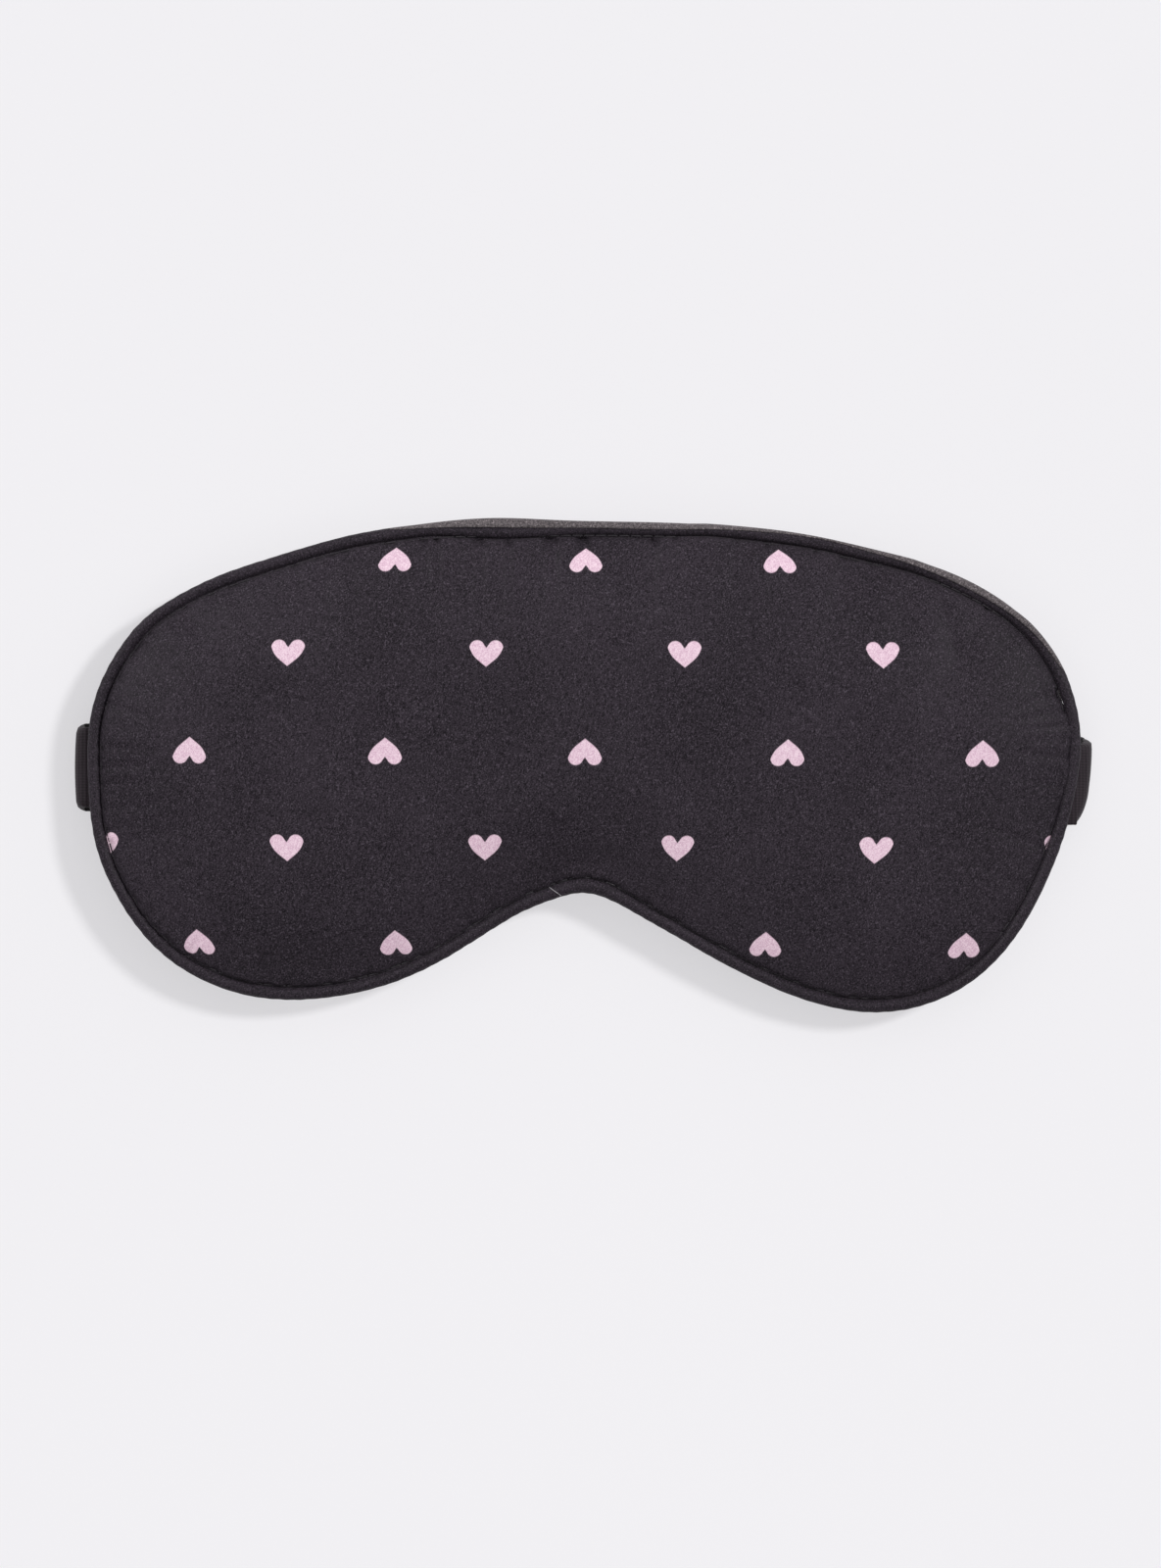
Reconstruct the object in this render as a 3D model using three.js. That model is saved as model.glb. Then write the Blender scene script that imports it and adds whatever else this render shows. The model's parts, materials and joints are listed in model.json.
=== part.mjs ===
// Padded satin sleep mask: printed front, plain back, corded piping round the edge and an elastic strap in
// two halves that fasten behind the head with hook-and-loop patches.
// The mask lies on a table with its print up and both strap halves folded flat behind it.
// Millimetres. +X is to the right of the print, +Y points to the brow edge and +Z out of the print. The
// origin is on the table, on the line of the strap, under the nose bridge.
import * as THREE from 'three';

// ---------- Driving dimensions ----------

// The edge seam's line, drawn between its extreme points. The line runs level or upright through each of
// them, and left, right, up and down say how far its curve is held to that direction.
const edge = {
  leftTemple: { x: -103.5, y: 3.5, up: 43, down: 46 },
  brow: { x: -23.5, y: 49.5, left: 11.5, right: 34.5 },
  rightTemple: { x: 103, y: 4, up: 51.5, down: 9 },
  rightLobe: { x: 62.5, y: -49, right: 31.5, left: 27.5 },
  noseNotch: { x: -1.5, y: -25, right: 16.5, left: 19.5 },
  leftLobe: { x: -63.5, y: -46.5, right: 34.5, left: 9.5 },
};
const middle = new THREE.Vector2(0, 9); // every ring of the cushion shrinks towards this point
const stations = 72; // cuts across the edge, evenly spaced round the mask

const seamHeight = 8; // height of the edge seam's plane over the table
const frontLoft = 6.2; // rise of the front cushion over its edge
const backLoft = 4; // drop of the back cushion under its edge
const shoulder = 32; // distance from the seam at which the cushion is fully lofted
const noseValley = { depth: 0.18, width: 16 }; // the cushion is thinner over the nose bridge

const satin = 0.5; // panel fabric
const liningThickness = 0.35;
const layerGap = 0.2; // between the soft layers
const seamHalfGap = 0.45; // from the seam's plane to either panel's edge
const paddingRing = 2; // the padding and its lining stop at this ring of the cushion, inside the seam

// slit is half the gap between the two layers of the piping's flange.
const piping = { offset: 1.3, radius: 1.4, fabric: 0.33, flange: 4, cordRadius: 0.9, slit: 0.05 };
const seamThread = { offset: -0.3, rise: 0.62, width: 0.3 };

// Either strap end is sewn in at seamHeight, and drops to stubHeight to pass under the piping. sewnEnd,
// dropStart and dropEnd are distances inside the seam line.
const strap = {
  width: 18.8,
  thickness: 1.2,
  seamHeight: 6.9,
  stubHeight: 5.85,
  sewnEnd: 4.2,
  dropStart: 2.8,
  dropEnd: 1.7,
  foldGap: 0.25,
};
const patch = { width: 16, thickness: 1.2, gap: 0.05, endMargin: 2 };
const loopLength = 42;
const hookLength = 25;
const stitch = { inset: 1.5, width: 0.4, height: 0.15 };
const tack = { inset: 3.4, length: 16, width: 0.9, height: 0.3 };
const pocket = { depth: 3.1, halfWidth: 16, fade: 8, from: 80 }; // room under the seam for each strap end
const label = { x: -58, width: 12, length: 20, thickness: 0.25, gap: 0.35 };

// Each strap half leaves the seam level, turns round a fold and lies behind the mask. fold is the middle of
// the bend's axis in plan, tilt turns that axis away from +Y, layer is the height of the folded half's middle,
// length runs from the fold to the free end, and seam is the seam line's distance from x = 0.
const leftHalf = { side: -1, fold: [-106.6, 0], tilt: 0, layer: 1.85, length: 116, seam: 103.5 };
const rightHalf = {
  side: 1,
  fold: [104.7, -2.9],
  tilt: THREE.MathUtils.degToRad(6.5),
  layer: 0.6,
  length: 140,
  seam: 102.4,
};

// ---------- Looks of the plain solids ----------

const finishes = {
  printedSatin: { color: '#3d373d', roughness: 0.55 },
  blackSatin: { color: '#37333a', roughness: 0.5 },
  liningCloth: { color: '#1b1a1c', roughness: 0.9 },
  wadding: { color: '#e6e3dc', roughness: 1 },
  cotton: { color: '#d9d4c8', roughness: 0.95 },
  thread: { color: '#242127', roughness: 0.7 },
  elastic: { color: '#3b383d', roughness: 0.7 },
  hookTape: { color: '#2b292e', roughness: 0.6 },
  loopTape: { color: '#2e2b31', roughness: 1 },
  ribbon: { color: '#e9e6e1', roughness: 0.6 },
};

const mask = new THREE.Group();

function addPiece(name, finish, geometry) {
  geometry.computeVertexNormals();
  const piece = new THREE.Mesh(geometry, new THREE.MeshStandardMaterial({ metalness: 0, ...finishes[finish] }));
  piece.name = name;
  mask.add(piece);
}

// ---------- The seam line ----------

function seamShape() {
  const { leftTemple, brow, rightTemple, rightLobe, noseNotch, leftLobe } = edge;
  const level = (point, side) => [point.x + (side === 'left' ? -point.left : point.right), point.y];
  const upright = (point, side) => [point.x, point.y + (side === 'down' ? -point.down : point.up)];
  const shape = new THREE.Shape().moveTo(leftTemple.x, leftTemple.y);
  shape.bezierCurveTo(...upright(leftTemple, 'up'), ...level(brow, 'left'), brow.x, brow.y);
  shape.bezierCurveTo(...level(brow, 'right'), ...upright(rightTemple, 'up'), rightTemple.x, rightTemple.y);
  shape.bezierCurveTo(...upright(rightTemple, 'down'), ...level(rightLobe, 'right'), rightLobe.x, rightLobe.y);
  shape.bezierCurveTo(...level(rightLobe, 'left'), ...level(noseNotch, 'right'), noseNotch.x, noseNotch.y);
  shape.bezierCurveTo(...level(noseNotch, 'left'), ...level(leftLobe, 'right'), leftLobe.x, leftLobe.y);
  shape.bezierCurveTo(...level(leftLobe, 'left'), ...upright(leftTemple, 'down'), leftTemple.x, leftTemple.y);
  return shape;
}

const seam = seamShape().getSpacedPoints(stations).slice(0, stations);
const outward = seam.map((point, i) => {
  const along = seam[(i + 1) % stations].clone().sub(seam[(i + stations - 1) % stations]).normalize();
  return new THREE.Vector2(-along.y, along.x);
});

// The point at station i that lies a distance outside the seam line, or inside it if the distance is negative.
const besideSeam = (i, distance) => seam[i].clone().addScaledVector(outward[i], distance);

function distanceToSeam(point) {
  const nearest = new THREE.Vector3();
  const from = new THREE.Vector3(point.x, point.y, 0);
  return Math.min(
    ...seam.map((start, i) => {
      const end = seam[(i + 1) % stations];
      const stretch = new THREE.Line3(new THREE.Vector3(start.x, start.y, 0), new THREE.Vector3(end.x, end.y, 0));
      return stretch.closestPointToPoint(from, true, nearest).distanceTo(from);
    }),
  );
}

// ---------- The cushion's surfaces ----------

// A quarter ellipse from the seam to the shoulder, lower over the nose bridge.
function loftAt(point, height) {
  const inwards = Math.min(distanceToSeam(point) / shoulder, 1);
  const valley = 1 - noseValley.depth * Math.exp(-((point.x / noseValley.width) ** 2));
  return height * valley * Math.sqrt(1 - (1 - inwards) ** 2);
}

// 1 beside a strap's end and 0 away from it.
function strapPocket(point) {
  const half = point.x < 0 ? leftHalf : rightHalf;
  if (Math.abs(point.x) < pocket.from) return 0;
  const beyond = Math.abs(point.y - half.fold[1]) - pocket.halfWidth;
  return 1 - THREE.MathUtils.smoothstep(beyond, 0, pocket.fade);
}

const frontInside = (point) => seamHeight + seamHalfGap + loftAt(point, frontLoft);
const backInside = (point) =>
  seamHeight - Math.max(seamHalfGap + loftAt(point, backLoft), pocket.depth * strapPocket(point));

// Rings of points that every cushion layer shares, from the panel's edge to near the middle.
const edgeInsets = [0.6, 2, 5];
const innerShares = [0.1, 0.25, 0.45, 0.7];
const rings = [
  ...edgeInsets.map((inset) => seam.map((_, i) => besideSeam(i, -inset))),
  ...innerShares.map((share) => seam.map((_, i) => besideSeam(i, -edgeInsets.at(-1)).lerp(middle, share))),
];

// A closed layer between two heights, from its first ring to the middle.
function cushionLayer(firstRing, bottom, top) {
  const used = rings.slice(firstRing);
  const perSheet = used.length * stations + 1;
  const corners = [];
  const triangles = [];
  for (const height of [top, bottom]) {
    for (const point of [...used.flat(), middle]) corners.push(point.x, point.y, height(point));
  }
  const addBothSheets = (a, b, c) => {
    triangles.push(a, b, c);
    triangles.push(c + perSheet, b + perSheet, a + perSheet);
  };
  for (let i = 0; i < stations; i += 1) {
    const next = (i + 1) % stations;
    for (let ring = 0; ring < used.length; ring += 1) {
      const last = ring === used.length - 1;
      const outer = [ring * stations + i, ring * stations + next];
      const inner = last ? [perSheet - 1] : [(ring + 1) * stations + i, (ring + 1) * stations + next];
      addBothSheets(outer[0], inner[0], outer[1]);
      if (!last) addBothSheets(outer[1], inner[0], inner[1]);
    }
    triangles.push(i, next, i + perSheet);
    triangles.push(next, next + perSheet, i + perSheet);
  }
  const geometry = new THREE.BufferGeometry();
  geometry.setAttribute('position', new THREE.Float32BufferAttribute(corners, 3));
  geometry.setIndex(triangles);
  return geometry;
}

function addCushion() {
  const liningTop = (point) => frontInside(point) - layerGap;
  const liningBottom = (point) => liningTop(point) - liningThickness;
  addPiece('front_panel', 'printedSatin', cushionLayer(0, frontInside, (point) => frontInside(point) + satin));
  addPiece('blackout_lining', 'liningCloth', cushionLayer(paddingRing, liningBottom, liningTop));
  addPiece(
    'padding',
    'wadding',
    cushionLayer(paddingRing, (point) => backInside(point) + layerGap, (point) => liningBottom(point) - layerGap),
  );
  addPiece('back_panel', 'blackSatin', cushionLayer(0, (point) => backInside(point) - satin, backInside));
}

// ---------- Loops: a closed section swept round a closed path ----------

// place(i, x, y) gives the point of the section at station i. The section runs anticlockwise with x outward
// and y up, and the path runs clockwise seen from above.
function sweptLoop(section, count, place) {
  const corners = [];
  const triangles = [];
  for (let i = 0; i < count; i += 1) {
    for (const [x, y] of section) corners.push(...place(i, x, y));
  }
  const sides = section.length;
  for (let i = 0; i < count; i += 1) {
    const here = i * sides;
    const ahead = ((i + 1) % count) * sides;
    for (let k = 0; k < sides; k += 1) {
      const next = (k + 1) % sides;
      triangles.push(here + k, here + next, ahead + k, here + next, ahead + next, ahead + k);
    }
  }
  const geometry = new THREE.BufferGeometry();
  geometry.setAttribute('position', new THREE.Float32BufferAttribute(corners, 3));
  geometry.setIndex(triangles);
  return geometry;
}

const roundSeam = (section) =>
  sweptLoop(section, stations, (i, x, y) => [...besideSeam(i, x).toArray(), seamHeight + y]);

const square = (x, y, size) => [
  [x - size / 2, y - size / 2],
  [x + size / 2, y - size / 2],
  [x + size / 2, y + size / 2],
  [x - size / 2, y + size / 2],
];

function arc(centre, radius, from, to, steps) {
  return Array.from({ length: steps + 1 }, (_, k) => {
    const angle = THREE.MathUtils.degToRad(THREE.MathUtils.lerp(from, to, k / steps));
    return [centre + radius * Math.cos(angle), radius * Math.sin(angle)];
  });
}

// The piping's bias strip is wrapped round the cord, and its two edges lie together in the seam as a flange.
function pipingSection() {
  const { offset, radius, fabric, flange, slit } = piping;
  const inner = radius - fabric;
  const neck = THREE.MathUtils.radToDeg(Math.asin((slit + fabric) / radius));
  const mouth = THREE.MathUtils.radToDeg(Math.asin(slit / inner));
  const steps = 8;
  return [
    [-flange, -slit - fabric],
    ...arc(offset, radius, neck - 180, 180 - neck, steps),
    [-flange, slit + fabric],
    [-flange, slit],
    ...arc(offset, inner, 180 - mouth, mouth - 180, steps),
    [-flange, -slit],
  ];
}

function addPiping() {
  const cordSteps = 8;
  addPiece('piping_cover', 'blackSatin', roundSeam(pipingSection()));
  addPiece('piping_cord', 'cotton', roundSeam(arc(piping.offset, piping.cordRadius, 0, 360, cordSteps).slice(1)));
  addPiece('seam_thread', 'thread', roundSeam(square(seamThread.offset, seamThread.rise, seamThread.width)));
}

// ---------- Strap ----------

// Maps a flat elastic band onto its folded path. along is measured outward from the fold's axis in plan,
// across from the band's middle, and lift is the height over the band's middle layer.
function bandPath(half) {
  const radius = (strap.stubHeight - half.layer) / 2;
  const axis = new THREE.Vector2(Math.sin(half.tilt) * half.side, Math.cos(half.tilt));
  const away = new THREE.Vector2(Math.cos(half.tilt) * half.side, -Math.sin(half.tilt));
  const turn = Math.PI * radius;
  // Distance past the fold's axis of the point a length along the band, and the other way round.
  const pastAxis = (length, across) => length * Math.cos(half.tilt) - across * Math.sin(half.tilt);
  const lengthFor = (past, across) => (past + across * Math.sin(half.tilt)) / Math.cos(half.tilt);
  const place = (length, across, lift) => {
    const past = pastAxis(length, across);
    const shift = length * Math.sin(half.tilt) + across * Math.cos(half.tilt);
    const angle = THREE.MathUtils.clamp(past, 0, turn) / radius;
    const reach = radius + lift;
    const straight = Math.min(past, 0) - Math.max(past - turn, 0);
    const out = straight + reach * Math.sin(angle);
    const plan = new THREE.Vector2(...half.fold).addScaledVector(axis, shift).addScaledVector(away, out);
    return new THREE.Vector3(plan.x, plan.y, strap.stubHeight - radius + reach * Math.cos(angle));
  };
  return { turn, lengthFor, place };
}

// A closed band through cross-cuts, each given as its four corners.
function bandSolid(cuts, side) {
  const corners = cuts.flat().flatMap((corner) => corner.toArray());
  const triangles = [];
  const quad = (a, b, c, d) => triangles.push(a, b, c, a, c, d);
  for (let i = 0; i + 1 < cuts.length; i += 1) {
    const here = 4 * i;
    for (let k = 0; k < 4; k += 1) {
      const next = (k + 1) % 4;
      quad(here + k, here + next, here + 4 + next, here + 4 + k);
    }
  }
  const end = 4 * (cuts.length - 1);
  quad(3, 2, 1, 0);
  quad(end, end + 1, end + 2, end + 3);
  if (side < 0) triangles.reverse();
  const geometry = new THREE.BufferGeometry();
  geometry.setAttribute('position', new THREE.Float32BufferAttribute(corners, 3));
  geometry.setIndex(triangles);
  return geometry;
}

// The four corners of a cut across the band, where lengthAt gives the length along the band at either edge.
function bandCut(path, lengthAt, low, high, rise = 0, width = strap.width) {
  return [
    [-1, low],
    [1, low],
    [1, high],
    [-1, high],
  ].map(([edgeSide, lift]) => {
    const across = (edgeSide * width) / 2;
    const corner = path.place(lengthAt(across), across, lift);
    corner.z += rise;
    return corner;
  });
}

const halfThickness = strap.thickness / 2;

// The sewn-in end, the stretch that passes under the piping, and the fold.
function addStrapRoot(name, half) {
  const path = bandPath(half);
  const seamRise = strap.seamHeight - strap.stubHeight;
  const foldSteps = 8;
  const cutAt = (lengthAt, rise) => bandCut(path, lengthAt, -halfThickness, halfThickness, rise);
  const lengthTo = (inset) => () => half.seam - inset - Math.abs(half.fold[0]);
  const cuts = [
    cutAt(lengthTo(strap.sewnEnd), seamRise),
    cutAt(lengthTo(strap.dropStart), seamRise),
    cutAt(lengthTo(strap.dropEnd), 0),
  ];
  for (let k = 0; k <= foldSteps; k += 1) {
    cuts.push(cutAt((across) => path.lengthFor((path.turn * k) / foldSteps, across), 0));
  }
  addPiece(name, 'elastic', bandSolid(cuts, half.side));
}

// A flat piece of the folded half, between two lengths measured back from the fold.
function flatPiece(half, from, to, width, low, high) {
  const path = bandPath(half);
  const cutAt = (length) => bandCut(path, () => path.turn + length, low, high, 0, width);
  return bandSolid([cutAt(from), cutAt(to)], half.side);
}

function addStrapHalf(name, half) {
  const path = bandPath(half);
  const start = (across) => path.lengthFor(path.turn + strap.foldGap, across);
  const end = () => path.turn + half.length;
  const cuts = [start, end].map((lengthAt) => bandCut(path, lengthAt, -halfThickness, halfThickness));
  addPiece(name, 'elastic', bandSolid(cuts, half.side));
}

// Past the fold the band is upside down, so a positive lift points to the table.
function addPatch(name, finish, half, length, facesTable) {
  const end = half.length - patch.endMargin;
  const near = halfThickness + patch.gap;
  const far = near + patch.thickness;
  const [low, high] = facesTable ? [near, far] : [-far, -near];
  addPiece(name, finish, flatPiece(half, end - length, end, patch.width, low, high));
}

// One run of thread round a patch, on the side of the strap that faces the mask.
function addPatchStitching(name, half, length, height) {
  const path = bandPath(half);
  const end = half.length - patch.endMargin;
  const centre = path.turn + end - length / 2;
  const halfLength = length / 2 - stitch.inset;
  const halfWidth = patch.width / 2 - stitch.inset;
  const turns = [
    [-1, -1],
    [-1, 1],
    [1, 1],
    [1, -1],
  ];
  const section = [
    [0, 0],
    [stitch.width, 0],
    [stitch.width, stitch.height],
    [0, stitch.height],
  ];
  const loop = sweptLoop(section, turns.length, (i, x, y) => {
    const [lengthSide, acrossSide] = turns[i];
    const corner = path.place(centre + lengthSide * (halfLength + x), acrossSide * (halfWidth + x), -height - y);
    return corner.toArray();
  });
  if (half.side > 0) loop.index.array.reverse();
  addPiece(name, 'thread', loop);
}

// The row of stitches that holds a strap's end to the seam.
function addTack(name, half) {
  const geometry = new THREE.BoxGeometry(tack.width, tack.length, tack.height);
  const height = strap.seamHeight - halfThickness - patch.gap - tack.height / 2;
  geometry.translate(half.side * (half.seam - tack.inset), half.fold[1], height);
  addPiece(name, 'thread', geometry);
}

function addStrap() {
  addStrapRoot('strap_left_root', leftHalf);
  addStrapRoot('strap_right_root', rightHalf);
  addStrapHalf('strap_left', leftHalf);
  addStrapHalf('strap_right', rightHalf);
  addPatch('loop_patch', 'loopTape', leftHalf, loopLength, true);
  addPatch('hook_patch', 'hookTape', rightHalf, hookLength, false);
  const onStrap = halfThickness + patch.gap;
  addPatchStitching('loop_patch_stitching', leftHalf, loopLength, onStrap);
  addPatchStitching('hook_patch_stitching', rightHalf, hookLength, onStrap + patch.thickness + patch.gap);
  addTack('strap_left_tack', leftHalf);
  addTack('strap_right_tack', rightHalf);
}

// ---------- Care label ----------

// A blank ribbon caught in the lower seam. It lies along the underside of the back panel.
function addCareLabel() {
  const start = seam.reduce((best, point) => {
    const closer = Math.abs(point.x - label.x) < Math.abs(best.x - label.x);
    return point.y < 0 && closer ? point : best;
  });
  const steps = 10;
  const firstInset = 0.8;
  const cuts = Array.from({ length: steps + 1 }, (_, k) => {
    const y = start.y + THREE.MathUtils.lerp(firstInset, label.length, k / steps);
    const top = backInside(new THREE.Vector2(label.x, y)) - satin - label.gap;
    return [
      new THREE.Vector3(label.x + label.width / 2, y, top - label.thickness),
      new THREE.Vector3(label.x - label.width / 2, y, top - label.thickness),
      new THREE.Vector3(label.x - label.width / 2, y, top),
      new THREE.Vector3(label.x + label.width / 2, y, top),
    ];
  });
  addPiece('care_label', 'ribbon', bandSolid(cuts, 1));
}

addCushion();
addPiping();
addStrap();
addCareLabel();

export default mask;
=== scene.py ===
import json
import math
import bpy
import numpy as np
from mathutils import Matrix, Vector, kdtree, noise


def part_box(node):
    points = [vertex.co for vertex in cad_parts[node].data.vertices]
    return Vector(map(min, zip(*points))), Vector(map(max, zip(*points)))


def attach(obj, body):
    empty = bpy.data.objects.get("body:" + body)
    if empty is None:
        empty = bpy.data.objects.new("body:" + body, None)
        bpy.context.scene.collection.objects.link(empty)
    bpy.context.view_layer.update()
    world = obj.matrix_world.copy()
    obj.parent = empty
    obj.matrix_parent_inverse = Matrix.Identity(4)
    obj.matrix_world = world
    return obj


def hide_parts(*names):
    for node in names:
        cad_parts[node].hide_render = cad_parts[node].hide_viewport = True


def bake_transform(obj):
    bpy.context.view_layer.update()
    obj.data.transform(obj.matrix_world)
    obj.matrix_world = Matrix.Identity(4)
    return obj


# The looks of a padded satin sleep mask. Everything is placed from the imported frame, in metres: +X is to the
# right of the print, +Y points to the brow edge, +Z out of the print, and the table is at z = 0.

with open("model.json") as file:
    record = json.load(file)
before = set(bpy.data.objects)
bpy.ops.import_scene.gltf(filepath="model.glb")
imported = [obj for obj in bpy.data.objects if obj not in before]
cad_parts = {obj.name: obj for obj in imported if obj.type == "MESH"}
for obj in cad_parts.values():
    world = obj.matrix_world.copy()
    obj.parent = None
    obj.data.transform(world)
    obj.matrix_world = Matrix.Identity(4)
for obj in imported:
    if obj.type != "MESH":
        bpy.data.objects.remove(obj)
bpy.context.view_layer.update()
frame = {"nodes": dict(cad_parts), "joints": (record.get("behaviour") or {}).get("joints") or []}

MM = 0.001
MIDDLE = np.array([0.0, 9.0]) * MM  # the whole outline can be seen from this point
CORD_OFFSET = 1.3 * MM  # from the seam line out to the middle of the piping cord
UP = np.array([0.0, 0.0, 1.0])

# ---------- Small helpers ----------


def smooth(low, high, value):
    """0 below low, 1 above high, and an even S-curve between them."""
    share = np.clip((value - low) / (high - low), 0, 1)
    return share * share * (3 - 2 * share)


def rounded(share):
    """A quarter circle: 0 up to share 0, and 1 from share 1."""
    return np.sqrt(1 - (1 - np.clip(share, 0, 1)) ** 2)


def bump(value, centre, width):
    return np.exp(-(((value - centre) / width) ** 2))


def near(plan, x, y, spread):
    """1 at a place in the plan, fading to 0 round it. The place and the spread are in mm."""
    return bump(np.linalg.norm(plan - np.array([x, y]) * MM, axis=1), 0, spread * MM)


def unit(vectors):
    return vectors / np.linalg.norm(vectors, axis=-1, keepdims=True)


def mixed(a, b, share):
    return a + (b - a) * share


def node_points(node):
    mesh = frame["nodes"][node].data
    points = np.empty(len(mesh.vertices) * 3)
    mesh.vertices.foreach_get("co", points)
    return points.reshape(-1, 3)


def middle_height(node):
    low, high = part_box(node)
    return (low.z + high.z) / 2


def turns(count):
    """Evenly spaced places once round, from 0 up to 1."""
    return np.arange(count) / count


def soft_noise(plan, size, seed):
    """Smooth noise, about -0.6 to 0.6, with features of a given size."""
    return np.array([noise.noise(Vector((x / size, y / size, seed))) for x, y in plan])


def paired(a, b):
    """Two grids of values as a list of pairs."""
    return np.stack(np.broadcast_arrays(a, b), axis=-1).reshape(-1, 2)


def raised(plan, z):
    """Plan points lifted to their heights."""
    return np.column_stack([plan, z])


class Loop:
    """A smooth closed curve through values given at evenly spaced stations."""

    def __init__(self, values):
        self.values = np.asarray(values, float)
        self.count = len(self.values)
        identity = np.eye(self.count)
        system = 4 * identity + np.roll(identity, 1, axis=1) + np.roll(identity, -1, axis=1)
        sag = np.roll(self.values, 1, axis=0) - 2 * self.values + np.roll(self.values, -1, axis=0)
        self.bend = np.linalg.solve(system, 6 * sag)

    def at(self, turn):
        """The value at each turn, where 0 to 1 goes once round."""
        station = np.mod(turn, 1) * self.count
        here = np.floor(station).astype(int) % self.count
        ahead = (here + 1) % self.count
        f = station - np.floor(station)
        if self.values.ndim > 1:
            f = f[..., None]
        b = 1 - f
        bends = (b**3 - b) * self.bend[here] + (f**3 - f) * self.bend[ahead]
        return b * self.values[here] + f * self.values[ahead] + bends / 6


def ripples(length, spacing, seed):
    """Random smooth waves along a closed curve of that length."""
    return Loop(np.random.default_rng(seed).uniform(-1, 1, int(length / spacing)))


# ---------- The seam line, read from the piping cord ----------

# Where the soft edge strays from the CAD outline: x, y, how far out, and over what half length, in mm.
STRAYS = [
    (-67, 45, -1.0, 15),
    (-94, 31, 0.5, 7),
    (-104, -16, 0.6, 9),
    (-60, -50, 0.4, 24),
    (58, -52, 0.6, 13),
    (86, -43, 0.45, 14),
    (62, 46, -0.6, 13),
    (1.5, -26.5, -1.4, 7),
]


def read_seam():
    """The seam line, anticlockwise from the right temple, and its height. The cord's two mid-height corners
    lie straight across from each other, so each pair gives the way out and the cord's middle."""
    height = middle_height("piping_cord")
    corners = node_points("piping_cord")
    level = np.unique(corners[abs(corners[:, 2] - height) < 0.02 * MM][:, :2].round(7), axis=0)
    gaps = np.linalg.norm(level[:, None] - level[None], axis=2)
    np.fill_diagonal(gaps, 1)
    partner = level[gaps.argmin(axis=1)]
    is_outer = np.linalg.norm(level - MIDDLE, axis=1) > np.linalg.norm(partner - MIDDLE, axis=1)
    outer, inner = level[is_outer], partner[is_outer]
    out = unit(outer - inner)
    stations = (outer + inner) / 2 - CORD_OFFSET * out
    for x, y, reach, spread in STRAYS:
        stations = stations + reach * MM * near(stations, x, y, spread)[:, None] * out
    from_middle = stations - MIDDLE
    order = np.argsort(np.mod(np.arctan2(from_middle[:, 1], from_middle[:, 0]), 2 * np.pi))
    return Loop(stations[order]), height


seam, seam_z = read_seam()
TURNS = turns(4000)
seam_points = seam.at(TURNS)
seam_steps = np.linalg.norm(np.roll(seam_points, -1, axis=0) - seam_points, axis=1)
seam_length = seam_steps.sum()
seam_tree = kdtree.KDTree(len(seam_points))
for index, (x, y) in enumerate(seam_points):
    seam_tree.insert((x, y, 0), index)
seam_tree.balance()


def outward(turn):
    """The direction straight out from the seam, in plan."""
    step = 0.0005
    along = unit(seam.at(turn + step) - seam.at(turn - step))
    return np.stack([along[..., 1], -along[..., 0]], axis=-1)


def beside_seam(points):
    """How far each plan point lies inside the seam, and the nearest turn."""
    nearest = np.array([seam_tree.find((x, y, 0))[1] for x, y in points])
    turn = TURNS[nearest]
    inside = -np.einsum("ij,ij->i", points - seam_points[nearest], outward(turn))
    return inside, turn


# ---------- Meshes ----------


def add_mesh(name, vertices, faces, material, uv=None):
    mesh = bpy.data.meshes.new(name)
    mesh.from_pydata([tuple(v) for v in vertices], [], [tuple(f) for f in faces])
    mesh.shade_smooth()
    if uv is not None:
        corners = np.empty(len(mesh.loops), np.int64)
        mesh.loops.foreach_get("vertex_index", corners)
        mesh.uv_layers.new(name="weave").data.foreach_set("uv", uv[corners].astype(np.float32).ravel())
    mesh.materials.append(material)
    made = bpy.data.objects.new(name, mesh)
    bpy.context.scene.collection.objects.link(made)
    return made


def add_piece(name, vertices, faces, material, slot, *nodes, uv=None, body="mask"):
    made = add_mesh(name, vertices, faces, material, uv)
    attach(made, body)
    if nodes:
        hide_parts(*nodes)


def tube_faces(rings, sides, closed):
    """Faces of a tube of that many rings. An open tube gets two end caps."""
    faces = []
    for ring in range(rings if closed else rings - 1):
        here, ahead = ring * sides, (ring + 1) % rings * sides
        for side in range(sides):
            after = (side + 1) % sides
            faces.append((here + side, here + after, ahead + after, ahead + side))
    if not closed:
        faces.append(tuple(range(sides))[::-1])
        faces.append(tuple((rings - 1) * sides + side for side in range(sides)))
    return faces


def joined(vertices, faces, more_vertices, more_faces):
    """Two sets of vertices and faces as one."""
    moved = [tuple(i + len(vertices) for i in face) for face in more_faces]
    return np.concatenate([vertices, more_vertices]), [tuple(face) for face in faces] + moved


def scatter(template, faces, origins, bases):
    """Copies of a small template, each turned to its own three axes and moved to its own origin."""
    placed = np.einsum("vk,nkj->nvj", template, bases) + origins[:, None]
    count = len(template)
    moved = [[tuple(i + copy * count for i in face) for face in faces] for copy in range(len(origins))]
    return placed.reshape(-1, 3), [face for copy in moved for face in copy]


def grid_quads(columns, rows):
    """Faces of a grid of points that run along +X first, then up the rows."""
    corner = (np.arange(rows - 1)[:, None] * columns + np.arange(columns - 1)).ravel()
    return np.stack([corner, corner + 1, corner + columns + 1, corner + columns], axis=1)


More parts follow.
